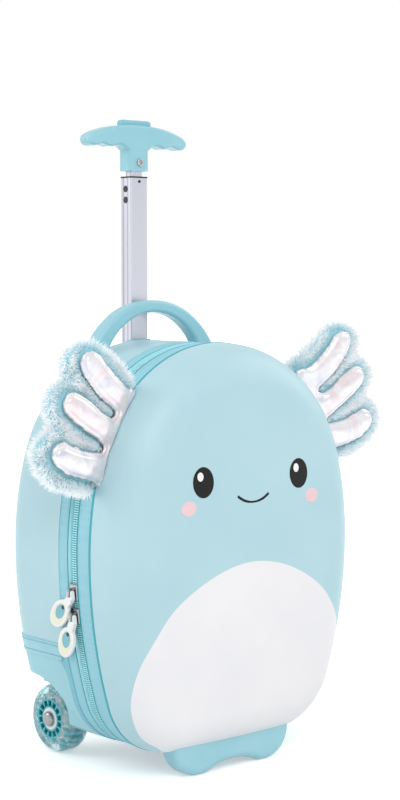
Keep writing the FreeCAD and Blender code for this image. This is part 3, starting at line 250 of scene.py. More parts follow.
def shell_film(name, crease_shade_colour=None):
    # Matte polyurethane film over moulded ABS: an even pale colour, a soft wide gloss and a faint pebble
    # grain. Where a second colour is given, it is painted shade: the film takes that darker colour below the
    # top of the wheel base, standing for the shaded crease between the base and the band
    material, tree, shader, coordinates = finish(name, "#B4D8E0", 0.46, ior=1.5, coat_weight=0.05)
    cloud = mottle(tree, shader, coordinates, 90 * mm, ("#B0D5DF", "#B7DAE2"))
    grain(tree, shader, coordinates, 0.9 * mm, 0.02 * mm)
    if crease_shade_colour:
        base_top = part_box("wheel_base")[1].z
        axes = add(tree, "SeparateXYZ", links={"Vector": (coordinates, "Object")})
        below = add(tree, "MapRange", links={"Value": (axes, "Z")},
                    inputs={"From Min": base_top, "From Max": base_top - crease_shade_fade})
        add(tree, "MixRGB", links={"Fac": (below, "Result"), "Color1": (cloud, "Color")},
            inputs={"Color2": linear(crease_shade_colour)}, feeds=[("Color", shader, "Base Color")])
    return material


def belly_film():
    # The same film in white
    material, tree, shader, coordinates = finish("white_pu_film", "#EFEFF2", 0.45, ior=1.5)
    mottle(tree, shader, coordinates, 90 * mm, ("#EDEDF1", "#F3F2F4"))
    grain(tree, shader, coordinates, 0.9 * mm, 0.02 * mm)
    return material


def away_from_parting(tree, coordinates):
    """A node that gives the distance to the rear or front of the parting line."""
    axes = add(tree, "SeparateXYZ", links={"Vector": (coordinates, "Object")})
    across = add(tree, "Math", links={0: (axes, "Y")}, inputs={1: parting_y}, operation="SUBTRACT")
    return add(tree, "Math", links={0: (across, "Value")}, operation="ABSOLUTE")


def woven(name, colours, thread, roughness, depth, shade_and_light_colours=None, ways="XYZ"):
    # Plain-woven polyester: crossing threads with a soft sheen, drawn coarse enough to show. The threads lie
    # across the axes named. Where edge colours are given, they are painted shade and light: a dark band of
    # painted shade beside the zip stands for the shadow of its groove, and the walls facing the zip get a
    # pale colour, painted light that makes up for the shade of the recess
    material, tree, shader, coordinates = finish(name, colours[0], roughness, ior=1.5, sheen_weight=0.25,
                                                 sheen_roughness=0.4, sheen_tint=linear(colours[0]))
    cross = None
    for axis in ways:
        wave = add(tree, "TexWave", links={"Vector": (coordinates, "Object")}, bands_direction=axis,
                   inputs={"Scale": wave_scale / thread, "Distortion": 0.6, "Detail": 1.0})
        if cross:
            both = add(tree, "Math", links={0: cross, 1: (wave, "Fac")},
                       operation="ADD" if axis == "Z" else "MULTIPLY")
            cross = (both, "Value")
        else:
            cross = (wave, "Fac")
    weave = add(tree, "ValToRGB", links={"Fac": cross}, stops=[(0.1, colours[0]), (1.0, colours[1])],
                feeds=[("Color", shader, "Base Color")])
    add(tree, "Bump", links={"Height": cross}, inputs={"Strength": 0.5, "Distance": depth},
        feeds=[("Normal", shader, "Normal")])
    if shade_and_light_colours:
        away = away_from_parting(tree, coordinates)
        # The first colour is painted shade along the zip's groove, the second painted light on the walls
        # facing the zip
        for limit, blur, colour in ((groove_shade_width, groove_shade_width / 4, shade_and_light_colours[0]),
                                    (wall_edge, wall_edge / 2, shade_and_light_colours[1])):
            near = add(tree, "MapRange", links={"Value": (away, "Value")},
                       inputs={"From Min": zip_half_width + limit, "From Max": zip_half_width + limit - blur})
            weave = add(tree, "MixRGB", links={"Fac": (near, "Result"), "Color1": (weave, "Color")},
                        inputs={"Color2": linear(colour)}, feeds=[("Color", shader, "Base Color")])
    return material


def zip_tape():
    # Woven zip tape with painted shade and light: darker under the coil as painted shade, and pale beside the
    # coil, painted lighter than the tape to make up for the shade of the zip recess
    material, tree, shader, coordinates = finish("zip_tape_polyester", "#8CE2EC", 0.6, ior=1.5,
                                                 sheen_weight=0.2, sheen_roughness=0.4)
    share = add(tree, "Math", links={0: (away_from_parting(tree, coordinates), "Value")},
                inputs={1: zip_half_width}, operation="DIVIDE")
    add(tree, "ValToRGB", links={"Fac": (share, "Value")},
        stops=[(0.0, "#2395A1"), (0.48, "#3AA6B2"), (0.54, "#CFF9FE"), (1.0, "#C6F6FD")],
        feeds=[("Color", shader, "Base Color")])
    threads = add(tree, "TexWave", links={"Vector": (coordinates, "Object")}, bands_direction="Z",
                  inputs={"Scale": wave_scale / (0.9 * mm), "Distortion": 0.5})
    add(tree, "Bump", links={"Height": (threads, "Fac")}, inputs={"Strength": 0.5, "Distance": 0.05 * mm},
        feeds=[("Normal", shader, "Normal")])
    return material


def nylon_coil():
    # Extruded nylon monofilament: smooth and slightly waxy. Its pale colour is partly the nylon's own and
    # partly painted light, lighter to make up for the shade of the zip recess
    material, tree, shader, coordinates = finish("nylon_coil", "#BDF1F8", 0.32, ior=1.53)
    mottle(tree, shader, coordinates, 6 * mm, ("#B2EDF5", "#C8F5FA"))
    return material


def moulded(name, colours, roughness):
    # Injection-moulded plastic or rubber with a fine spark-eroded texture: an even colour and a soft gloss
    material, tree, shader, coordinates = finish(name, colours[0], roughness, ior=1.53)
    mottle(tree, shader, coordinates, 60 * mm, colours)
    grain(tree, shader, coordinates, 0.7 * mm, 0.015 * mm)
    return material


def anodised_aluminium(name, colour, groove_shade_colour):
    # Drawn and satin-anodised aluminium: fine die lines, and two grey bands of painted shade run along the
    # tube, standing for the shade of its grooves and rounded corners
    material, tree, shader, coordinates = finish(name, colour, 0.3, metallic=1.0)
    axes = add(tree, "SeparateXYZ", links={"Vector": (coordinates, "Object")})
    across = add(tree, "Math", links={0: (axes, "Y")}, inputs={1: tube_low.y}, operation="SUBTRACT")
    share = add(tree, "Math", links={0: (across, "Value")}, inputs={1: tube_high.y - tube_low.y},
                operation="DIVIDE")
    add(tree, "ValToRGB", links={"Fac": (share, "Value")},
        stops=[(0.0, colour), (0.26, colour), (0.3, groove_shade_colour), (0.36, groove_shade_colour), (0.4, colour),
               (0.62, colour), (0.66, groove_shade_colour), (0.78, groove_shade_colour), (0.82, colour)],
        feeds=[("Color", shader, "Base Color")])
    stretched = add(tree, "Mapping", links={"Vector": (coordinates, "Object")},
                    inputs={"Scale": (1, 1, 0.012)})
    lines = add(tree, "TexNoise", links={"Vector": (stretched, "Vector")},
                inputs={"Scale": 1 / (0.8 * mm), "Detail": 4.0, "Roughness": 0.6})
    add(tree, "MapRange", links={"Value": (lines, "Fac")}, inputs={"To Min": 0.24, "To Max": 0.4},
        feeds=[("Result", shader, "Roughness")])
    add(tree, "Bump", links={"Height": (lines, "Fac")}, inputs={"Strength": 0.25, "Distance": 0.02 * mm},
        feeds=[("Normal", shader, "Normal")])
    return material


def plated_steel(name, colour, roughness):
    # Plated steel or zinc: bright, with faint polishing marks
    material, tree, shader, coordinates = finish(name, colour, roughness, metallic=1.0)
    marks = add(tree, "TexNoise", links={"Vector": (coordinates, "Object")},
                inputs={"Scale": 1 / (0.6 * mm), "Detail": 3.0})
    add(tree, "MapRange", links={"Value": (marks, "Fac")},
        inputs={"To Min": roughness * 0.7, "To Max": roughness * 1.5},
        feeds=[("Result", shader, "Roughness")])
    return material


def clear_polyurethane():
    # Cast clear polyurethane: mostly see-through, with a mosaic of tinted chips in it and a worn satin tread
    material, tree, shader, coordinates = finish("clear_polyurethane", "#D5EEF3", 0.18, ior=1.45,
                                                 transmission_weight=0.7, coat_weight=0.4)
    chips = add(tree, "TexVoronoi", links={"Vector": (coordinates, "Object")}, inputs={"Scale": 1 / (5 * mm)})
    tint = add(tree, "SeparateXYZ", links={"Vector": (chips, "Color")})
    add(tree, "ValToRGB", links={"Fac": (tint, "X")},
        stops=[(0.0, "#5CC4D0"), (0.35, "#A5E2EA"), (0.6, "#D2F1F5"), (0.85, "#F2FCFD")],
        feeds=[("Color", shader, "Base Color")])
    haze = add(tree, "TexNoise", links={"Vector": (coordinates, "Object")},
               inputs={"Scale": 1 / (7 * mm), "Detail": 3.0})
    add(tree, "MapRange", links={"Value": (haze, "Fac")}, inputs={"To Min": 0.04, "To Max": 0.22},
        feeds=[("Result", shader, "Roughness")])
    return material


def pearl_foil():
    # Metallised pearl vinyl: white with a wide gloss and faint lilac, rose and cream tints
    material, tree, shader, coordinates = finish("pearl_foil_vinyl", "#E6E3E9", 0.24, ior=1.55, metallic=0.3,
                                                 coat_weight=0.6, coat_roughness=0.1)
    cloud = add(tree, "TexNoise", links={"Vector": (coordinates, "Object")},
                inputs={"Scale": 1 / (26 * mm), "Detail": 2.0, "Distortion": 0.8})
    add(tree, "ValToRGB", links={"Fac": (cloud, "Fac")},
        stops=[(0.3, "#D0D1DE"), (0.43, "#E3E2E7"), (0.5, "#EAE8EA"), (0.6, "#E6D7DE"), (0.72, "#E9E1D6")],
        feeds=[("Color", shader, "Base Color")])
    crinkle = add(tree, "TexNoise", links={"Vector": (coordinates, "Object")},
                  inputs={"Scale": 1 / (5 * mm), "Detail": 4.0, "Distortion": 1.4})
    add(tree, "Bump", links={"Height": (crinkle, "Fac")}, inputs={"Strength": 0.35, "Distance": 0.25 * mm},
        feeds=[("Normal", shader, "Normal")])
    return material


def plush_fur():
    # Faux-fur pile: deeper colour at the roots, paler towards the tips, and each fibre a little different.
    # The deep root colour is partly the fibres' own and partly painted shade of the pile's depth; fibres
    # beside the foil are darkened further, as painted shade, through their along_hair values
    material, tree, shader, coordinates = finish("faux_fur_pile", "#D5EDF3", 0.8, ior=1.4, sheen_weight=0.5,
                                                 sheen_roughness=0.4)
    along = add(tree, "Attribute", attribute_name="along_hair")
    add(tree, "ValToRGB", links={"Fac": (along, "Fac")},
        stops=[(0.0, "#A4DBE6"), (0.22, "#DFEFF4"), (0.5, "#F7FAFC"), (1.0, "#FFFFFF")],
        feeds=[("Color", shader, "Base Color")])
    return material


def print_ink(name, colours):
    # Screen-printed ink: flat colour with a satin film
    material, tree, shader, coordinates = finish(name, colours[0], 0.55, ior=1.3)
    mottle(tree, shader, coordinates, 12 * mm, colours)
    return material


tube_low, tube_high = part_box("mid_tube")
finishes = {
    "shell_film": shell_film("matte_pu_film"),
    "belly_film": belly_film(),
    # The band's edge colours are painted shade beside the zip and painted light on the walls facing it
    "band_fabric": woven("woven_polyester", ("#8BC8D7", "#9ED3E0"), 0.8 * mm, 0.6, 0.05 * mm,
                         ("#0F8F9C", "#C6F6FD")),
    "zip_tape": zip_tape(),
    "lining_fabric": woven("lining_taffeta", ("#C4DCE2", "#D6E8EC"), 0.6 * mm, 0.55, 0.03 * mm, ways="XZ"),
    "base_plastic": moulded("moulded_abs_base", ("#98CFDC", "#A3D6E1"), 0.42),
    "grip_plastic": moulded("moulded_abs_grip", ("#92CAD7", "#9BD0DC"), 0.36),
    "black_plastic": moulded("moulded_black_nylon", ("#08090A", "#0E0F10"), 0.3),
    "white_plastic": moulded("moulded_white_acetal", ("#EDF0F1", "#F5F6F6"), 0.3),
    "hub_plastic": moulded("moulded_teal_abs", ("#34A9B4", "#43B5BF"), 0.32),
    "inlay_plastic": moulded("moulded_teal_inlay", ("#6FB4C4", "#7DBFCD"), 0.35),
    "tag_rubber": moulded("moulded_white_rubber", ("#F1F2F1", "#F7F7F5"), 0.5),
    "steel": plated_steel("zinc_plated_steel", "#B4B6B9", 0.18),
    "chrome": plated_steel("nickel_plated_zinc", "#97999C", 0.16),
    # The second colour of each aluminium is painted shade in two bands along the tube
    "tube_aluminium": anodised_aluminium("satin_anodised_aluminium", "#C0C2CB", "#9EA1AB"),
    "guide_aluminium": anodised_aluminium("mill_finish_aluminium", "#BEC0C5", "#A4A7AC"),
    "clear_tyre": clear_polyurethane(),
    "fur": plush_fur(),
    "foil_fabric": pearl_foil(),
}
coil_finish = nylon_coil()
thread_finish = woven("sewing_thread", ("#7FC3D2", "#9AD4DF"), 0.5 * mm, 0.6, 0.02 * mm)
for part in frame["record"]["subparts"]:
    slots = nodes[part["node"]].data.materials
    slots.clear()
    slots.append(finishes[part["material_slot"]])
# Painted shade: the piping is darker than the bands, standing for the shade of the seam beside it
nodes["piping"].data.materials[0] = woven("piping_cover", ("#2F9FAD", "#4DB2BF"), 0.7 * mm, 0.55, 0.03 * mm)
nodes["button"].data.materials[0] = moulded("moulded_abs_button", ("#7FBECB", "#88C5D1"), 0.36)
# Painted shade: the rear shell is darker below the top of the wheel base, standing for the crease there
nodes["rear_shell"].data.materials[0] = shell_film("matte_pu_film_rear", "#79BFCE")


# Path round the case
def egg_path(inset, spacing):
    """Evenly spaced places and outward directions round the case outline, as arrays of x and z."""
    pi = math.pi
    runs = [
        (upper_centre_x, widest_z, upper_side_radius, 0, top_angle),
        (0, top_centre_z, top_radius, top_angle, pi - top_angle),
        (-upper_centre_x, widest_z, upper_side_radius, pi - top_angle, pi),
        (-lower_centre_x, widest_z, lower_side_radius, pi, pi - corner_angle),
        (-corner_centre_x, corner_centre_z, bottom_corner_radius, pi - corner_angle, 1.5 * pi),
        None,
        (corner_centre_x, corner_centre_z, bottom_corner_radius, -pi / 2, corner_angle),
        (lower_centre_x, widest_z, lower_side_radius, corner_angle, 0),
    ]
    places, outwards = [], []
    left_over = 0.0
    for run in runs:
        length = 2 * corner_centre_x if run is None else (run[2] - inset) * (run[4] - run[3])
        along = left_over
        while along < length:
            if run is None:
                places.append((along - corner_centre_x, bottom_z + inset))
                outwards.append((0.0, -1.0))
            else:
                angle = run[3] + along / (run[2] - inset)
                outwards.append((math.cos(angle), math.sin(angle)))
                places.append((run[0] + (run[2] - inset) * outwards[-1][0],
                               run[1] + (run[2] - inset) * outwards[-1][1]))
            along += spacing
        left_over = along - length
    return np.array(places), np.array(outwards)


def along_case(template, inset, y, spacing, keep_clear_of_hinge):
    """Copies of a template round the case: its x runs along the path, y to the rear and z outwards."""
    points = template_points(template)
    places, outwards = egg_path(inset, spacing)
    if keep_clear_of_hinge:
        near = (places[:, 0] > 0) & (np.abs(places[:, 1] - widest_z) < hinge_strip_height / 2 + spacing)
        places, outwards = places[~near], outwards[~near]
    forward = np.stack([-outwards[:, 1], outwards[:, 0]], 1)
    x, z = (places[:, None, axis] + forward[:, None, axis] * points[None, :, 0]
            + outwards[:, None, axis] * points[None, :, 2] for axis in (0, 1))
    return np.stack([x, np.broadcast_to(y + points[None, :, 1], x.shape), z], 2)


# Zip coils
tooth_pitch = 2.2 * mm
tooth_length = 1.3 * mm
tooth_height = 0.5 * mm
tooth_proud = 0.18 * mm
tooth_rounding = 0.2 * mm


def zip_coil(name, y, body):
    tooth = rounded_block((tooth_length, coil_width, tooth_height), tooth_rounding, 1,
                          (0, 0, tooth_proud - tooth_height / 2))
    coil = copies(name, tooth, along_case(tooth, coil_inset, y, tooth_pitch, True))
    discard(tooth)
    settle(coil, coil_finish)
    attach(coil, body)


zip_coil("front_zip_coil", parting_y - (coil_gap + coil_width) / 2, "lid")
zip_coil("rear_zip_coil", parting_y + (coil_gap + coil_width) / 2, "case")

# Rows of stitches on the bands
stitch_length = 3.2 * mm
stitch_pitch = 4.4 * mm
stitch_radius = 0.35 * mm
stitch_round = 0.22 * mm
stitch_dip = 0.25 * mm
stitch_edge = 3.4 * mm


def stitch_row(name, y, body):
    stitch = rounded_block((stitch_length, 2 * stitch_radius, 2 * stitch_radius), stitch_round, 1)
    for vertex in stitch.data.vertices:
        if abs(vertex.co.x) > (stitch_length - stitch_round) / 2:
            vertex.co.z -= stitch_dip
    row = copies(name, stitch, along_case(stitch, band_inset, y, stitch_pitch, False))
    discard(stitch)
    settle(row, thread_finish)
    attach(row, body)


stitch_row("front_band_stitches", zip_front_y - stitch_edge, "lid")
stitch_row("rear_band_stitches", zip_rear_y + stitch_edge, "case")


# Fabric hinge between the case and the lid
hinge_wall = 1 * mm
hinge_steps_across = 16
hinge_steps_along = 32


def fabric_hinge():
    low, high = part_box("hinge_strip")
    bpy.ops.object.select_all(action="DESELECT")
    bpy.ops.mesh.primitive_grid_add(x_subdivisions=hinge_steps_across, y_subdivisions=hinge_steps_along,
                                    size=1)
    strip = bpy.context.object
    strip.name = "fabric_hinge"
    for vertex in strip.data.vertices:
        across, along, _ = vertex.co
        y = (low.y + high.y) / 2 + across * (high.y - low.y)
        z = widest_z + along * hinge_strip_height
        radius = (upper_side_radius if z > widest_z else lower_side_radius) - tape_inset
        centre_x = upper_centre_x if z > widest_z else lower_centre_x
        vertex.co = (centre_x + math.sqrt(radius**2 - (z - widest_z)**2), y, z)
    wall = strip.modifiers.new("wall", "SOLIDIFY")
    wall.thickness = hinge_wall
    wall.offset = -1
    apply_modifiers(strip)
    turn_faces_out(strip)
    settle(strip, finishes["band_fabric"])
    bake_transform(strip)
    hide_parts("hinge_strip")


fabric_hinge()


# Printed face
ink_black = print_ink("black_print_ink", ("#0C0D0E", "#141516"))
ink_white = print_ink("white_print_ink", ("#F4F4F4", "#FAFAFA"))
ink_pink = print_ink("pink_print_ink", ("#EFCDD2", "#F2D6DA"))
ink_wall = 0.12 * mm
ink_lift = 0.02 * mm
oval_inset_share = 0.22
eye_side = 62 * mm
eye_z = 285 * mm
eye_half_size = (12.5 * mm, 14.5 * mm)
eye_light_aside = 3.5 * mm
eye_light_up = 5.5 * mm
eye_light_half_size = (3.6 * mm, 4.2 * mm)
cheek_side = 80 * mm
cheek_z = 262 * mm
cheek_half_size = (9 * mm, 7 * mm)
mouth_z = 269 * mm
mouth_low_z = 265 * mm
mouth_half_width = 20 * mm
mouth_drop = 7 * mm
mouth_line = 1.3 * mm
mouth_flatness = 0.12


def on_dome(piece, lift):
    """Lays a flat piece on the front of the case, lifted clear of it."""
    wrap = piece.modifiers.new("wrap", "SHRINKWRAP")
    wrap.target = nodes["front_dome"]
    wrap.wrap_method = "PROJECT"
    wrap.use_project_y = True
    wrap.use_positive_direction = True
    wrap.use_negative_direction = True
    wall = piece.modifiers.new("wall", "SOLIDIFY")
    wall.thickness = ink_wall
    wall.offset = 1
    apply_modifiers(piece)
    piece.location.y -= lift


def print_oval(name, x, z, half_across, half_up, ink, lift):
    """A printed oval, inset a few times so that it follows the dome."""
    bpy.ops.object.select_all(action="DESELECT")
    bpy.ops.mesh.primitive_circle_add(vertices=48, radius=1, fill_type="NGON", location=(x, dome_front_y, z),
                                      rotation=(math.pi / 2, 0, 0))
    oval = bpy.context.object
    oval.name = name
    oval.scale = (half_across, half_up, 1)
    bpy.ops.object.transform_apply(location=True, rotation=True, scale=True)
    bpy.ops.object.mode_set(mode="EDIT")
    for _ in range(3):
        bpy.ops.mesh.inset(thickness=min(half_across, half_up) * oval_inset_share)
    bpy.ops.object.mode_set(mode="OBJECT")
    on_dome(oval, lift)
    settle(oval, ink)
    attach(oval, "lid")


for side, word in ((-1, "left"), (1, "right")):
    print_oval(f"{word}_eye", side * eye_side, eye_z, *eye_half_size, ink_black, ink_lift)
    print_oval(f"{word}_eye_light", side * eye_side - eye_light_aside, eye_z + eye_light_up,
               *eye_light_half_size, ink_white, ink_lift + ink_wall)
    print_oval(f"{word}_cheek", side * cheek_side, cheek_z, *cheek_half_size, ink_pink, ink_lift)


def print_mouth():
    """A curved line, flattened and laid against the dome."""
    bpy.ops.object.select_all(action="DESELECT")
    bpy.ops.curve.primitive_bezier_curve_add(location=(0, dome_front_y, mouth_z),
                                             rotation=(math.pi / 2, 0, 0))
    mouth = bpy.context.object
    mouth.name = "mouth"
    for point, sign in zip(mouth.data.splines[0].bezier_points, (-1, 1)):
        point.co = (sign * mouth_half_width, 0, 0)
        point.handle_left_type = "FREE"
        point.handle_right_type = "FREE"
        inner = (sign * mouth_half_width * 0.4, -mouth_drop * 1.33, 0)
        outer = (sign * mouth_half_width * 1.4, mouth_drop, 0)
        point.handle_left = outer if sign < 0 else inner
        point.handle_right = inner if sign < 0 else outer
    mouth.data.bevel_depth = mouth_line
    mouth.data.bevel_resolution = 3
    mouth.data.resolution_u = 24
    mouth.data.use_fill_caps = True
    alone(mouth)
    bpy.ops.object.convert(target="MESH")
    mouth = bpy.context.object
    bpy.ops.object.transform_apply(location=True, rotation=True, scale=True)
    ahead = Vector((0, dome_front_y - 1, mouth_low_z))
    dome_there = nodes["front_dome"].ray_cast(ahead, Vector((0, 1, 0)))[1].y
    for vertex in mouth.data.vertices:
        vertex.co.y = dome_front_y + (vertex.co.y - dome_front_y) * mouth_flatness
    settle(mouth, ink_black)
    mouth.data.transform(Matrix.Translation((0, dome_there - dome_front_y, 0)))
    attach(mouth, "lid")


print_mouth()


# Padding
swell_frames = 20
cloth_mass = 0.3
cloth_stiffness = 0.5


def inflate(piece, pressure, most_moved):
    """Swells a closed padded piece as sewn cloth, and keeps each point within the distance given."""
    before = np.array([vertex.co for vertex in piece.data.vertices])
    cloth = piece.modifiers.new("swelling", "CLOTH")
    cloth.settings.quality = 5
    cloth.settings.mass = cloth_mass
    cloth.settings.bending_stiffness = cloth_stiffness
    cloth.settings.use_pressure = True
    cloth.settings.uniform_pressure_force = pressure
    cloth.settings.effector_weights.gravity = 0
    cloth.collision_settings.use_collision = False
    cloth.point_cache.frame_start = 1
    cloth.point_cache.frame_end = swell_frames
    for step in range(1, swell_frames + 1):
        bpy.context.scene.frame_set(step)
    apply_modifiers(piece)
    bpy.context.scene.frame_set(1)
    moved = np.array([vertex.co for vertex in piece.data.vertices]) - before
    length = np.linalg.norm(moved, axis=1)
    moved *= np.minimum(1, most_moved / np.maximum(length, 1e-9))[:, None]
    piece.data.vertices.foreach_set("co", (before + moved).ravel())
    piece.data.update()


# Side fins
def fin_matrix(side):
    """From a fin's own reach, span and height above its pad to the object."""
    outward = Vector((math.cos(fin_root_angle), 0, math.sin(fin_root_angle)))
    along = Vector((-math.sin(fin_root_angle), 0, math.cos(fin_root_angle)))
    forward = Vector((0, -1, 0))
    basis = Matrix((outward, along, forward)).transposed().to_4x4()
    root = outward * top_radius + Vector((0, fin_pad_front, top_centre_z))
    axis_place = outward * (top_radius - fin_axis_inset) + Vector((0, seam_y, top_centre_z))
    tilt = (Matrix.Translation(axis_place) @ Matrix.Rotation(fin_tilt_angle, 4, -along)
            @ Matrix.Translation(-axis_place))
    lift = Matrix.Translation((0, 0, fin_lifts[side]))
    mirror = Matrix.Diagonal((side, 1, 1, 1))
    return mirror @ lift @ tilt @ Matrix.Translation(root) @ basis


foil_outline_shares = (
    (-0.06, 0.345), (0.1, 0.345), (0.26, 0.36), (0.45, 0.395), (0.61, 0.43), (0.715, 0.41),
    (0.775, 0.345), (0.71, 0.28), (0.53, 0.222), (0.36, 0.185), (0.22, 0.168), (0.125, 0.142),
    (0.25, 0.118), (0.48, 0.136), (0.65, 0.14), (0.74, 0.122), (0.795, 0.062), (0.755, 0.003),
    (0.6, -0.035), (0.38, -0.052), (0.18, -0.066), (0.095, -0.088), (0.18, -0.122), (0.34, -0.156),
    (0.49, -0.17), (0.62, -0.184), (0.685, -0.243), (0.65, -0.31), (0.46, -0.348), (0.26, -0.333),
    (0.06, -0.305), (-0.1, -0.29),
)
outline_steps = 8
fin_dip = 6.5 * mm
fin_dip_reach = 24 * mm
foil_edge = 2.6 * mm
foil_seat = 0.4 * mm
foil_crown = 3.2 * mm
foil_swell_reach = 13 * mm
foil_swell_most = 1.8 * mm
foil_groove_place = 4.4 * mm
foil_groove_width = 1.2 * mm
foil_groove_depth = 1.0 * mm
foil_crease = 0.25 * mm
foil_crease_size = 9 * mm
foil_cell = 1.8 * mm
foil_pressure = 4


def sewn_down(reach):
    """How far a fin dips towards the seam that holds it, by the distance from its root."""
    return fin_dip * (1 - np.clip(reach / fin_dip_reach, 0, 1))**2


def distance_to_line(points, line):
    """Least distance from each point to an open line of points in the plane, and the nearest places on it."""
    best = np.full(len(points), 1.0)
    nearest = np.zeros((len(points), 2))
    for start, end in zip(line[:-1], line[1:]):
        step = end - start
        share = np.clip(((points - start) @ step) / max(step @ step, 1e-12), 0, 1)
        place = start + share[:, None] * step
        length = np.linalg.norm(points - place, axis=1)
        nearer = length < best
        best[nearer] = length[nearer]
        nearest[nearer] = place[nearer]
    return best, nearest


def inside_line(points, line):
    """Which points lie inside a closed line, in the plane."""
    inside = np.zeros(len(points), bool)
    for (x0, y0), (x1, y1) in zip(line, np.roll(line, -1, axis=0)):
        crosses = (y0 > points[:, 1]) != (y1 > points[:, 1])
        with np.errstate(divide="ignore", invalid="ignore"):
            at = x0 + (points[:, 1] - y0) * (x1 - x0) / (y1 - y0)
        inside ^= crosses & (points[:, 0] < at)
    return inside


def cut_to_case(piece):
    """Moves what lies inside the case out to the case side, where the fin is sewn on."""
    for vertex in piece.data.vertices:
        out = Vector((vertex.co.x, 0, vertex.co.z - top_centre_z))
        if out.length < top_radius + fin_clearance:
            out.length = top_radius + fin_clearance
            vertex.co = (out.x, vertex.co.y, out.z + top_centre_z)


def foil_line():
    """The smooth foil outline, in the fin's own reach and span."""
    curve = bpy.data.curves.new("foil_outline", "CURVE")
    curve.dimensions = "2D"
    curve.resolution_u = outline_steps
    spline = curve.splines.new("BEZIER")
    spline.bezier_points.add(len(foil_outline_shares) - 1)
    spline.use_cyclic_u = True
    for point, (reach, span) in zip(spline.bezier_points, foil_outline_shares):
        point.co = (reach * fin_reach, span * fin_span, 0)
        point.handle_left_type = "AUTO"
        point.handle_right_type = "AUTO"
    shown = bpy.data.objects.new("foil_outline", curve)
    bpy.context.scene.collection.objects.link(shown)
    return shown


def outline_points():
    """The smooth foil outline as an array of places, in the fin's own reach and span."""
    shown = foil_line()
    bare = bpy.data.meshes.new_from_object(shown.evaluated_get(bpy.context.evaluated_depsgraph_get()))
    discard(shown)
    return np.array([vertex.co[:2] for vertex in bare.vertices])


def foil_pad(word, side):
    """The padded foil fingers, with a sewn groove inside their edge and small creases."""
    shown = foil_line()
    shown.data.fill_mode = "BOTH"
    shown.data.extrude = foil_edge / 2
    alone(shown)
    bpy.ops.object.convert(target="MESH")
    pad = bpy.context.object
    pad.name = f"{word}_fin_foil_pad"
    turn_faces_out(pad)
    cells = pad.modifiers.new("cells", "REMESH")
    cells.mode = "VOXEL"
    cells.voxel_size = foil_cell
    apply_modifiers(pad)
    inflate(pad, foil_pressure, foil_swell_most)
    alone(pad)
    bpy.ops.object.mode_set(mode="EDIT")
    bpy.ops.mesh.select_all(action="SELECT")
    bpy.ops.mesh.vertices_smooth(factor=0.5, repeat=3)
    bpy.ops.object.mode_set(mode="OBJECT")
    finer = pad.modifiers.new("finer", "SUBSURF")
    finer.levels = 1
    finer.render_levels = 1
    apply_modifiers(pad)
    line = outline_points()
    free_line = line[outline_steps:(len(foil_outline_shares) - 1) * outline_steps + 1]
    points = np.array([vertex.co for vertex in pad.data.vertices])
    edge, _ = distance_to_line(points[:, :2], free_line)
    share = np.clip(edge / foil_swell_reach, 0, 1)
    height = foil_crown * np.sqrt(1 - (1 - share)**2)
    height -= foil_groove_depth * np.exp(-((edge - foil_groove_place) / foil_groove_width)**2)
    crease = np.array([noise.noise(Vector(place) / foil_crease_size) for place in points]) * foil_crease
    front = points[:, 2] > 0
    points[front, 2] += (height + crease * share)[front]
    points[:, 2] = np.maximum(points[:, 2], -foil_edge / 2) - sewn_down(points[:, 0])
    pad.data.vertices.foreach_set("co", points.ravel())
    pad.data.transform(Matrix.Translation((0, 0, foil_edge / 2 + foil_seat)))
    pad.data.transform(fin_matrix(side))
    cut_to_case(pad)
    turn_faces_out(pad)
    settle(pad, finishes["foil_fabric"], smooth_angle=60)
    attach(pad, "lid")
    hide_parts(f"{word}_fin_foil")


hair_count = 24000
hair_length = 9.0 * mm
hair_length_shares = (0.75, 1.2)
hair_radius = 0.36 * mm
hair_radius_shares = (0.7, 1.3)
hair_waist = 0.55
hair_waist_gain = 1.9
hair_curl = 0.22
hair_spread_way = (0.3, 0.5, 0.8)
hair_outward_lean = 0.35
hair_lock_lean = 0.55
hair_lock_size = 14 * mm
hair_stray_lean = 0.25
hair_case_gap = 2 * mm
hair_tip_value = 0.95
hair_tone = 0.08
fur_front_facing = 0.5
fur_cell = 4 * mm
fur_pressure = 3
fur_core_inset = 3.5 * mm
fur_swell_most = 2.0 * mm
foil_hair_lap = 1.0 * mm
foil_hair_reach = 8.0 * mm
foil_hair_shortening = 0.4
foil_hair_shading = 0.65


def fur_core(word, side):
    """The pad inside the pile: a merged copy of the solid, remeshed and drawn in.

    Its faces come back in order of place, because remeshing may number them differently each time."""
    core = bpy.data.objects.new(f"{word}_fin_plush", nodes[f"{word}_fin_fur"].data.copy())
    bpy.context.scene.collection.objects.link(core)
    turn_faces_out(core)
    cells = core.modifiers.new("cells", "REMESH")
    cells.mode = "VOXEL"
    cells.voxel_size = fur_cell
    apply_modifiers(core)
    places = np.array([vertex.co for vertex in core.data.vertices])
    order = np.lexsort(np.array([places[list(face.vertices)].mean(0) for face in core.data.polygons]).T)
    inflate(core, fur_pressure, fur_swell_most)
    alone(core)
    bpy.ops.object.mode_set(mode="EDIT")
    bpy.ops.mesh.select_all(action="SELECT")
    bpy.ops.transform.shrink_fatten(value=-fur_core_inset)
    bpy.ops.object.mode_set(mode="OBJECT")
    to_fin = fin_matrix(side).inverted()
    for vertex in core.data.vertices:
        vertex.co.y += sewn_down((to_fin @ vertex.co).x)
    core.data.update()
    return core, [core.data.polygons[index] for index in order]


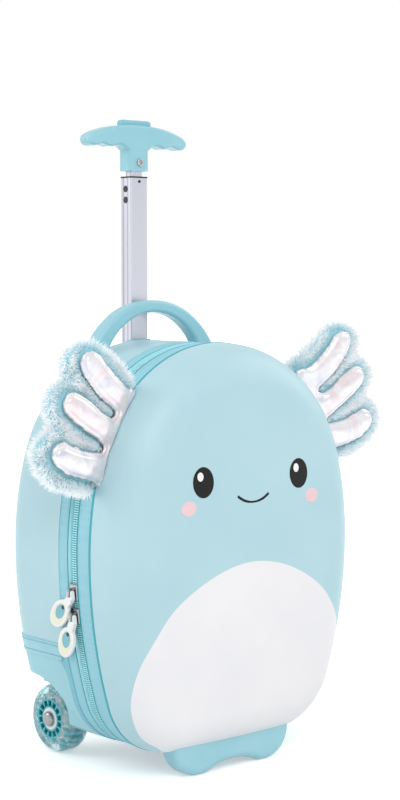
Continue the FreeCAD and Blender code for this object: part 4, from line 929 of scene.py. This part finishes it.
def hair_template():
    """One fibre and its points: a three-sided cone of unit size, filled out at its waist."""
    bpy.ops.object.select_all(action="DESELECT")
    bpy.ops.mesh.primitive_cone_add(vertices=3, radius1=1, radius2=0, depth=1, end_fill_type="NOTHING",
                                    location=(0, 0, 0.5))
    hair = bpy.context.object
    bpy.ops.object.transform_apply(location=True, rotation=True, scale=True)
    bpy.ops.object.mode_set(mode="EDIT")
    bpy.ops.mesh.select_all(action="SELECT")
    bpy.ops.mesh.bisect(plane_co=(0, 0, hair_waist), plane_no=(0, 0, 1))
    bpy.ops.object.mode_set(mode="OBJECT")
    shape = template_points(hair)
    shape[np.abs(shape[:, 2] - hair_waist) < 0.01, :2] *= hair_waist_gain
    return hair, shape


def fur_pile(word, side, seed):
    """Fibres all over the pad except under the foil. They lean outwards, in locks and away from the foil."""
    core, faces = fur_core(word, side)
    rng = np.random.default_rng(seed)
    noise.seed_set(seed)
    areas = np.array([face.area for face in faces])
    chosen = rng.choice(len(areas), hair_count, p=areas / areas.sum())
    ways = np.array([face.normal for face in faces])[chosen]
    across = np.cross(ways, hair_spread_way)
    across /= np.linalg.norm(across, axis=1)[:, None]
    spread = (rng.random((hair_count, 2)) - 0.5) * np.sqrt(areas[chosen])[:, None]
    roots = (np.array([face.center for face in faces])[chosen] + spread[:, :1] * across
             + spread[:, 1:] * np.cross(ways, across))
    local = np.array(fin_matrix(side).inverted()) @ np.vstack([roots.T, np.ones(hair_count)])
    line = outline_points()
    edge, nearest = distance_to_line(local[:2].T, np.vstack([line, line[:1]]))
    front = ways[:, 1] < -fur_front_facing
    under_foil = inside_line(local[:2].T, line) & front
    from_case = np.linalg.norm(roots[:, [0, 2]] - np.array((0, top_centre_z)), axis=1) - top_radius
    keep = (~under_foil | (edge < foil_hair_lap)) & (from_case > hair_case_gap)
    roots, ways = roots[keep], ways[keep]
    beside = (np.clip(1 - edge / foil_hair_reach, 0, 1) * front)[keep]
    apart = np.zeros((len(edge), 3))
    apart[:, :2] = (local[:2].T - nearest) / np.maximum(edge, 1e-9)[:, None]
    apart[under_foil] *= -1
    turn = np.array(fin_matrix(side).to_3x3())
    apart = (apart @ turn.T)[keep]
    outward = turn[:, 0]
    locks = np.array([noise.noise_vector(Vector(root) / hair_lock_size) for root in roots])
    ways = (ways + hair_outward_lean * outward + hair_lock_lean * locks
            + hair_stray_lean * rng.normal(size=roots.shape) + beside[:, None] * apart)
    ways /= np.linalg.norm(ways, axis=1)[:, None]
    hair, shape = hair_template()
    count = len(roots)
    length = hair_length * rng.uniform(*hair_length_shares, count) * (1 - foil_hair_shortening * beside)
    thick = hair_radius * rng.uniform(*hair_radius_shares, count)
    side_way = np.cross(ways, rng.normal(size=ways.shape))
    side_way /= np.linalg.norm(side_way, axis=1)[:, None]
    third_way = np.cross(ways, side_way)
    curl = rng.normal(0.0, hair_curl, count) * length
    points = (roots[:, None, :]
              + shape[None, :, 2:] * (ways * length[:, None])[:, None, :]
              + shape[None, :, :1] * (side_way * thick[:, None])[:, None, :]
              + shape[None, :, 1:2] * (third_way * thick[:, None])[:, None, :]
              + (shape[None, :, 2:]**2) * (side_way * curl[:, None])[:, None, :])
    pile = copies(f"{word}_fin_pile", hair, points)
    tone = rng.normal(0.0, hair_tone, count)
    # Painted shade: fibres beside the foil take a darker, root-like colour, standing for the shade between
    # the fingers
    tips = hair_tip_value - foil_hair_shading * beside
    value = np.clip(shape[None, :, 2] * tips[:, None] + tone[:, None], 0, 1).ravel()
    # The pad under the fibres takes the deep root colour, partly painted shade of the pile's depth
    for piece, values in ((pile, value), (core, np.zeros(len(core.data.vertices)))):
        attribute = piece.data.attributes.new("along_hair", "FLOAT", "POINT")
        attribute.data.foreach_set("value", values.astype(np.float32))
    discard(hair)
    cut_to_case(pile)
    pile.visible_shadow = False
    for piece in (core, pile):
        settle(piece, finishes["fur"], smooth_angle=80)
        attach(piece, "lid")
    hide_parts(f"{word}_fin_fur")


for side, word, seed in ((-1, "left", 11), (1, "right", 12)):
    foil_pad(word, side)
    fur_pile(word, side, seed)


# Rings and eyelets on the pull tags
tag_half_length = 17 * mm
tag_half_width = 10.8 * mm
tag_rim = 3.0 * mm
tag_rise = 3.5 * mm
tag_hole_rise = 6.5 * mm
inlay_half_length = 9 * mm
inlay_half_width = 5.75 * mm
eyelet_radius = 2.1 * mm
eyelet_rim = 1.0 * mm
eyelet_depth = 2.7 * mm
eyelet_proud = 0.5 * mm
eyelet_sink = 0.7 * mm
eyelet_round = 0.35 * mm
tag_ring_wall = 0.35 * mm
ring_finish = moulded("moulded_cream_rubber", ("#EFEBCF", "#F4F0DA"), 0.5)
eyelet_finish = moulded("moulded_dark_eyelet", ("#1D4A52", "#26565F"), 0.35)


def tag_matrix(inlay):
    """From a tag's own width, length and height to the object, found from its inlay."""
    points = np.array([vertex.co for vertex in nodes[inlay].data.vertices])
    _, axes = np.linalg.eigh(np.cov((points - points.mean(0)).T))
    out, across, along = axes.T
    out = out * np.sign(-out[0])
    along = along * np.sign(along[2])
    across = np.cross(along, out)
    spans = np.array([(points @ axis).min() + (points @ axis).max() for axis in (across, along)]) / 2
    centre = across * spans[0] + along * spans[1] + out * (points @ out).max()
    matrix = Matrix(np.stack([across, along, out], 1).tolist()).to_4x4()
    matrix.translation = centre
    return matrix


def tag_ring(word):
    """A flat ring from inside the tag's rim to its inlay."""
    outer = (tag_half_width - tag_rim, tag_half_length - tag_rim, -tag_rise)
    inner = (inlay_half_width, inlay_half_length, 0)
    ring = None
    for half_across, half_along, rise in (outer, inner):
        bpy.ops.object.select_all(action="DESELECT")
        bpy.ops.mesh.primitive_circle_add(vertices=64, radius=1, location=(0, rise, 0))
        loop = bpy.context.object
        loop.scale = (half_across, half_along, 1)
        bpy.ops.object.transform_apply(location=True, rotation=True, scale=True)
        if ring:
            ring.select_set(True)
            bpy.context.view_layer.objects.active = ring
            bpy.ops.object.join()
        ring = bpy.context.object
    ring.name = f"{word}_tag_ring"
    bpy.ops.object.mode_set(mode="EDIT")
    bpy.ops.mesh.select_all(action="SELECT")
    bpy.ops.mesh.bridge_edge_loops()
    bpy.ops.mesh.normals_make_consistent(inside=False)
    bpy.ops.object.mode_set(mode="OBJECT")
    wall = ring.modifiers.new("wall", "SOLIDIFY")
    wall.thickness = tag_ring_wall
    wall.offset = 0
    apply_modifiers(ring)
    ring.data.transform(tag_matrix(f"{word}_pull_inlay"))
    turn_faces_out(ring)
    settle(ring, ring_finish)
    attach(ring, f"{word}_pull")


def tag_eyelet(word):
    """A sunk eyelet with a rounded rim, set through the inlay."""
    bpy.ops.object.select_all(action="DESELECT")
    bpy.ops.mesh.primitive_cylinder_add(vertices=32, radius=eyelet_radius, depth=eyelet_depth,
                                        location=(0, tag_hole_rise, eyelet_proud - eyelet_depth / 2))
    eyelet = bpy.context.object
    eyelet.name = f"{word}_tag_eyelet"
    bpy.ops.object.transform_apply(location=True, rotation=True, scale=True)
    bpy.ops.object.mode_set(mode="EDIT")
    bpy.ops.mesh.select_mode(type="FACE")
    bpy.ops.mesh.select_all(action="DESELECT")
    bpy.ops.object.mode_set(mode="OBJECT")
    for face in eyelet.data.polygons:
        face.select = face.normal.z > 0.9
    bpy.ops.object.mode_set(mode="EDIT")
    bpy.ops.mesh.inset(thickness=eyelet_rim)
    bpy.ops.mesh.extrude_region_move(TRANSFORM_OT_translate={"value": (0, 0, -eyelet_sink)})
    bpy.ops.mesh.select_mode(type="VERT")
    bpy.ops.object.mode_set(mode="OBJECT")
    soften = eyelet.modifiers.new("soften", "BEVEL")
    soften.width = eyelet_round
    soften.segments = 3
    soften.limit_method = "ANGLE"
    apply_modifiers(eyelet)
    turn_faces_out(eyelet)
    eyelet.data.transform(tag_matrix(f"{word}_pull_inlay"))
    settle(eyelet, eyelet_finish)
    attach(eyelet, f"{word}_pull")


for word in ("upper", "lower"):
    tag_ring(word)
    tag_eyelet(word)

# Ribs inside the clear tyres
rib_count = 22
rib_inner_radius = 21.5 * mm
rib_height = 4.5 * mm
rib_width = 3.6 * mm
rib_inset = 4.5 * mm
rib_rounding = 0.5 * mm
rib_finish = moulded("moulded_teal_rib", ("#3FB4C0", "#5AC4CE"), 0.35)


def tyre_ribs(word):
    low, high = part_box(f"{word}_tyre")
    middle = (low + high) / 2
    rib = rounded_block((high.x - low.x - 2 * rib_inset, rib_width, rib_height), rib_rounding, 2)
    points = template_points(rib)
    turns = np.arange(rib_count) * 2 * math.pi / rib_count
    reach = rib_inner_radius + rib_height / 2 + points[None, :, 2]
    sideways = points[None, :, 1]
    x = np.broadcast_to(middle.x + points[None, :, 0], (rib_count, len(points)))
    y = middle.y + reach * np.sin(turns)[:, None] + sideways * np.cos(turns)[:, None]
    z = middle.z + reach * np.cos(turns)[:, None] - sideways * np.sin(turns)[:, None]
    ribs = copies(f"{word}_tyre_ribs", rib, np.stack([x, y, z], 2))
    discard(rib)
    settle(ribs, rib_finish)
    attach(ribs, f"{word}_wheel")


for word in ("left", "right"):
    tyre_ribs(word)


# Floor, light and camera
floor_size = 30
floor_drop = 0.2 * mm
floor_glow = {"From Min": 0.2, "From Max": 0.8, "To Min": 0.42, "To Max": 1.0}
studio_fill = 0.62
lamp_aim = (0, 0, 0.3)


def seen_rays(tree):
    """A node that gives 1 on the rays that show the backdrop itself, directly, mirrored or through glass."""
    path = add(tree, "LightPath")
    first = add(tree, "Math", links={0: (path, "Is Camera Ray"), 1: (path, "Is Glossy Ray")}, operation="ADD")
    return add(tree, "Math", links={0: (first, "Value"), 1: (path, "Is Transmission Ray")}, operation="ADD")


def floor():
    bpy.ops.object.select_all(action="DESELECT")
    bpy.ops.mesh.primitive_plane_add(size=floor_size, location=(0, 0, -floor_drop))
    ground = bpy.context.object
    ground.name = "floor"
    # White paper sweep: it takes the shadow beside the object and is plain white further out
    material, tree, shader, coordinates = finish("white_paper_sweep", "#F2F2F2", 0.9, ior=1.3)
    shader.inputs["Emission Color"].default_value = (1, 1, 1, 1)
    seen = seen_rays(tree)
    far = add(tree, "VectorMath", links={0: (coordinates, "Object")}, operation="LENGTH")
    rise = add(tree, "MapRange", links={"Value": (far, "Value")}, inputs=floor_glow)
    add(tree, "Math", links={0: (seen, "Value"), 1: (rise, "Result")}, operation="MULTIPLY",
        feeds=[("Value", shader, "Emission Strength")])
    ground.data.materials.append(material)


def lamp(name, place, size, power):
    bpy.ops.object.light_add(type="AREA", location=place)
    light = bpy.context.object
    light.name = name
    light.data.shape = "DISK"
    light.data.size = size
    light.data.energy = power
    aim = Vector(lamp_aim) - Vector(place)
    light.rotation_euler = aim.to_track_quat("-Z", "Y").to_euler()


def studio():
    lamp("key_light", (-1.0, -2.0, 2.1), 1.8, 28)
    lamp("fill_light", (2.2, -0.5, 1.6), 1.8, 12)
    lamp("back_light", (-1.9, 1.5, 1.5), 1.6, 17)
    world = bpy.data.worlds.new("studio")
    bpy.context.scene.world = world
    world.use_nodes = True
    tree = world.node_tree
    backdrop = tree.nodes["Background"]
    backdrop.inputs["Color"].default_value = (1, 1, 1, 1)
    seen = seen_rays(tree)
    add(tree, "MapRange", links={"Value": (seen, "Value")}, inputs={"To Min": studio_fill, "To Max": 1.0},
        feeds=[("Result", backdrop, "Strength")])


def camera():
    bpy.ops.object.camera_add(location=camera_place, rotation=(math.pi / 2 - camera_pitch, 0, camera_heading))
    view = bpy.context.object
    view.data.sensor_width = sensor_size
    view.data.lens = focal_pixels * sensor_size / photo_height
    bpy.context.scene.camera = view


floor()
studio()
camera()
bpy.context.scene.view_settings.view_transform = "Standard"
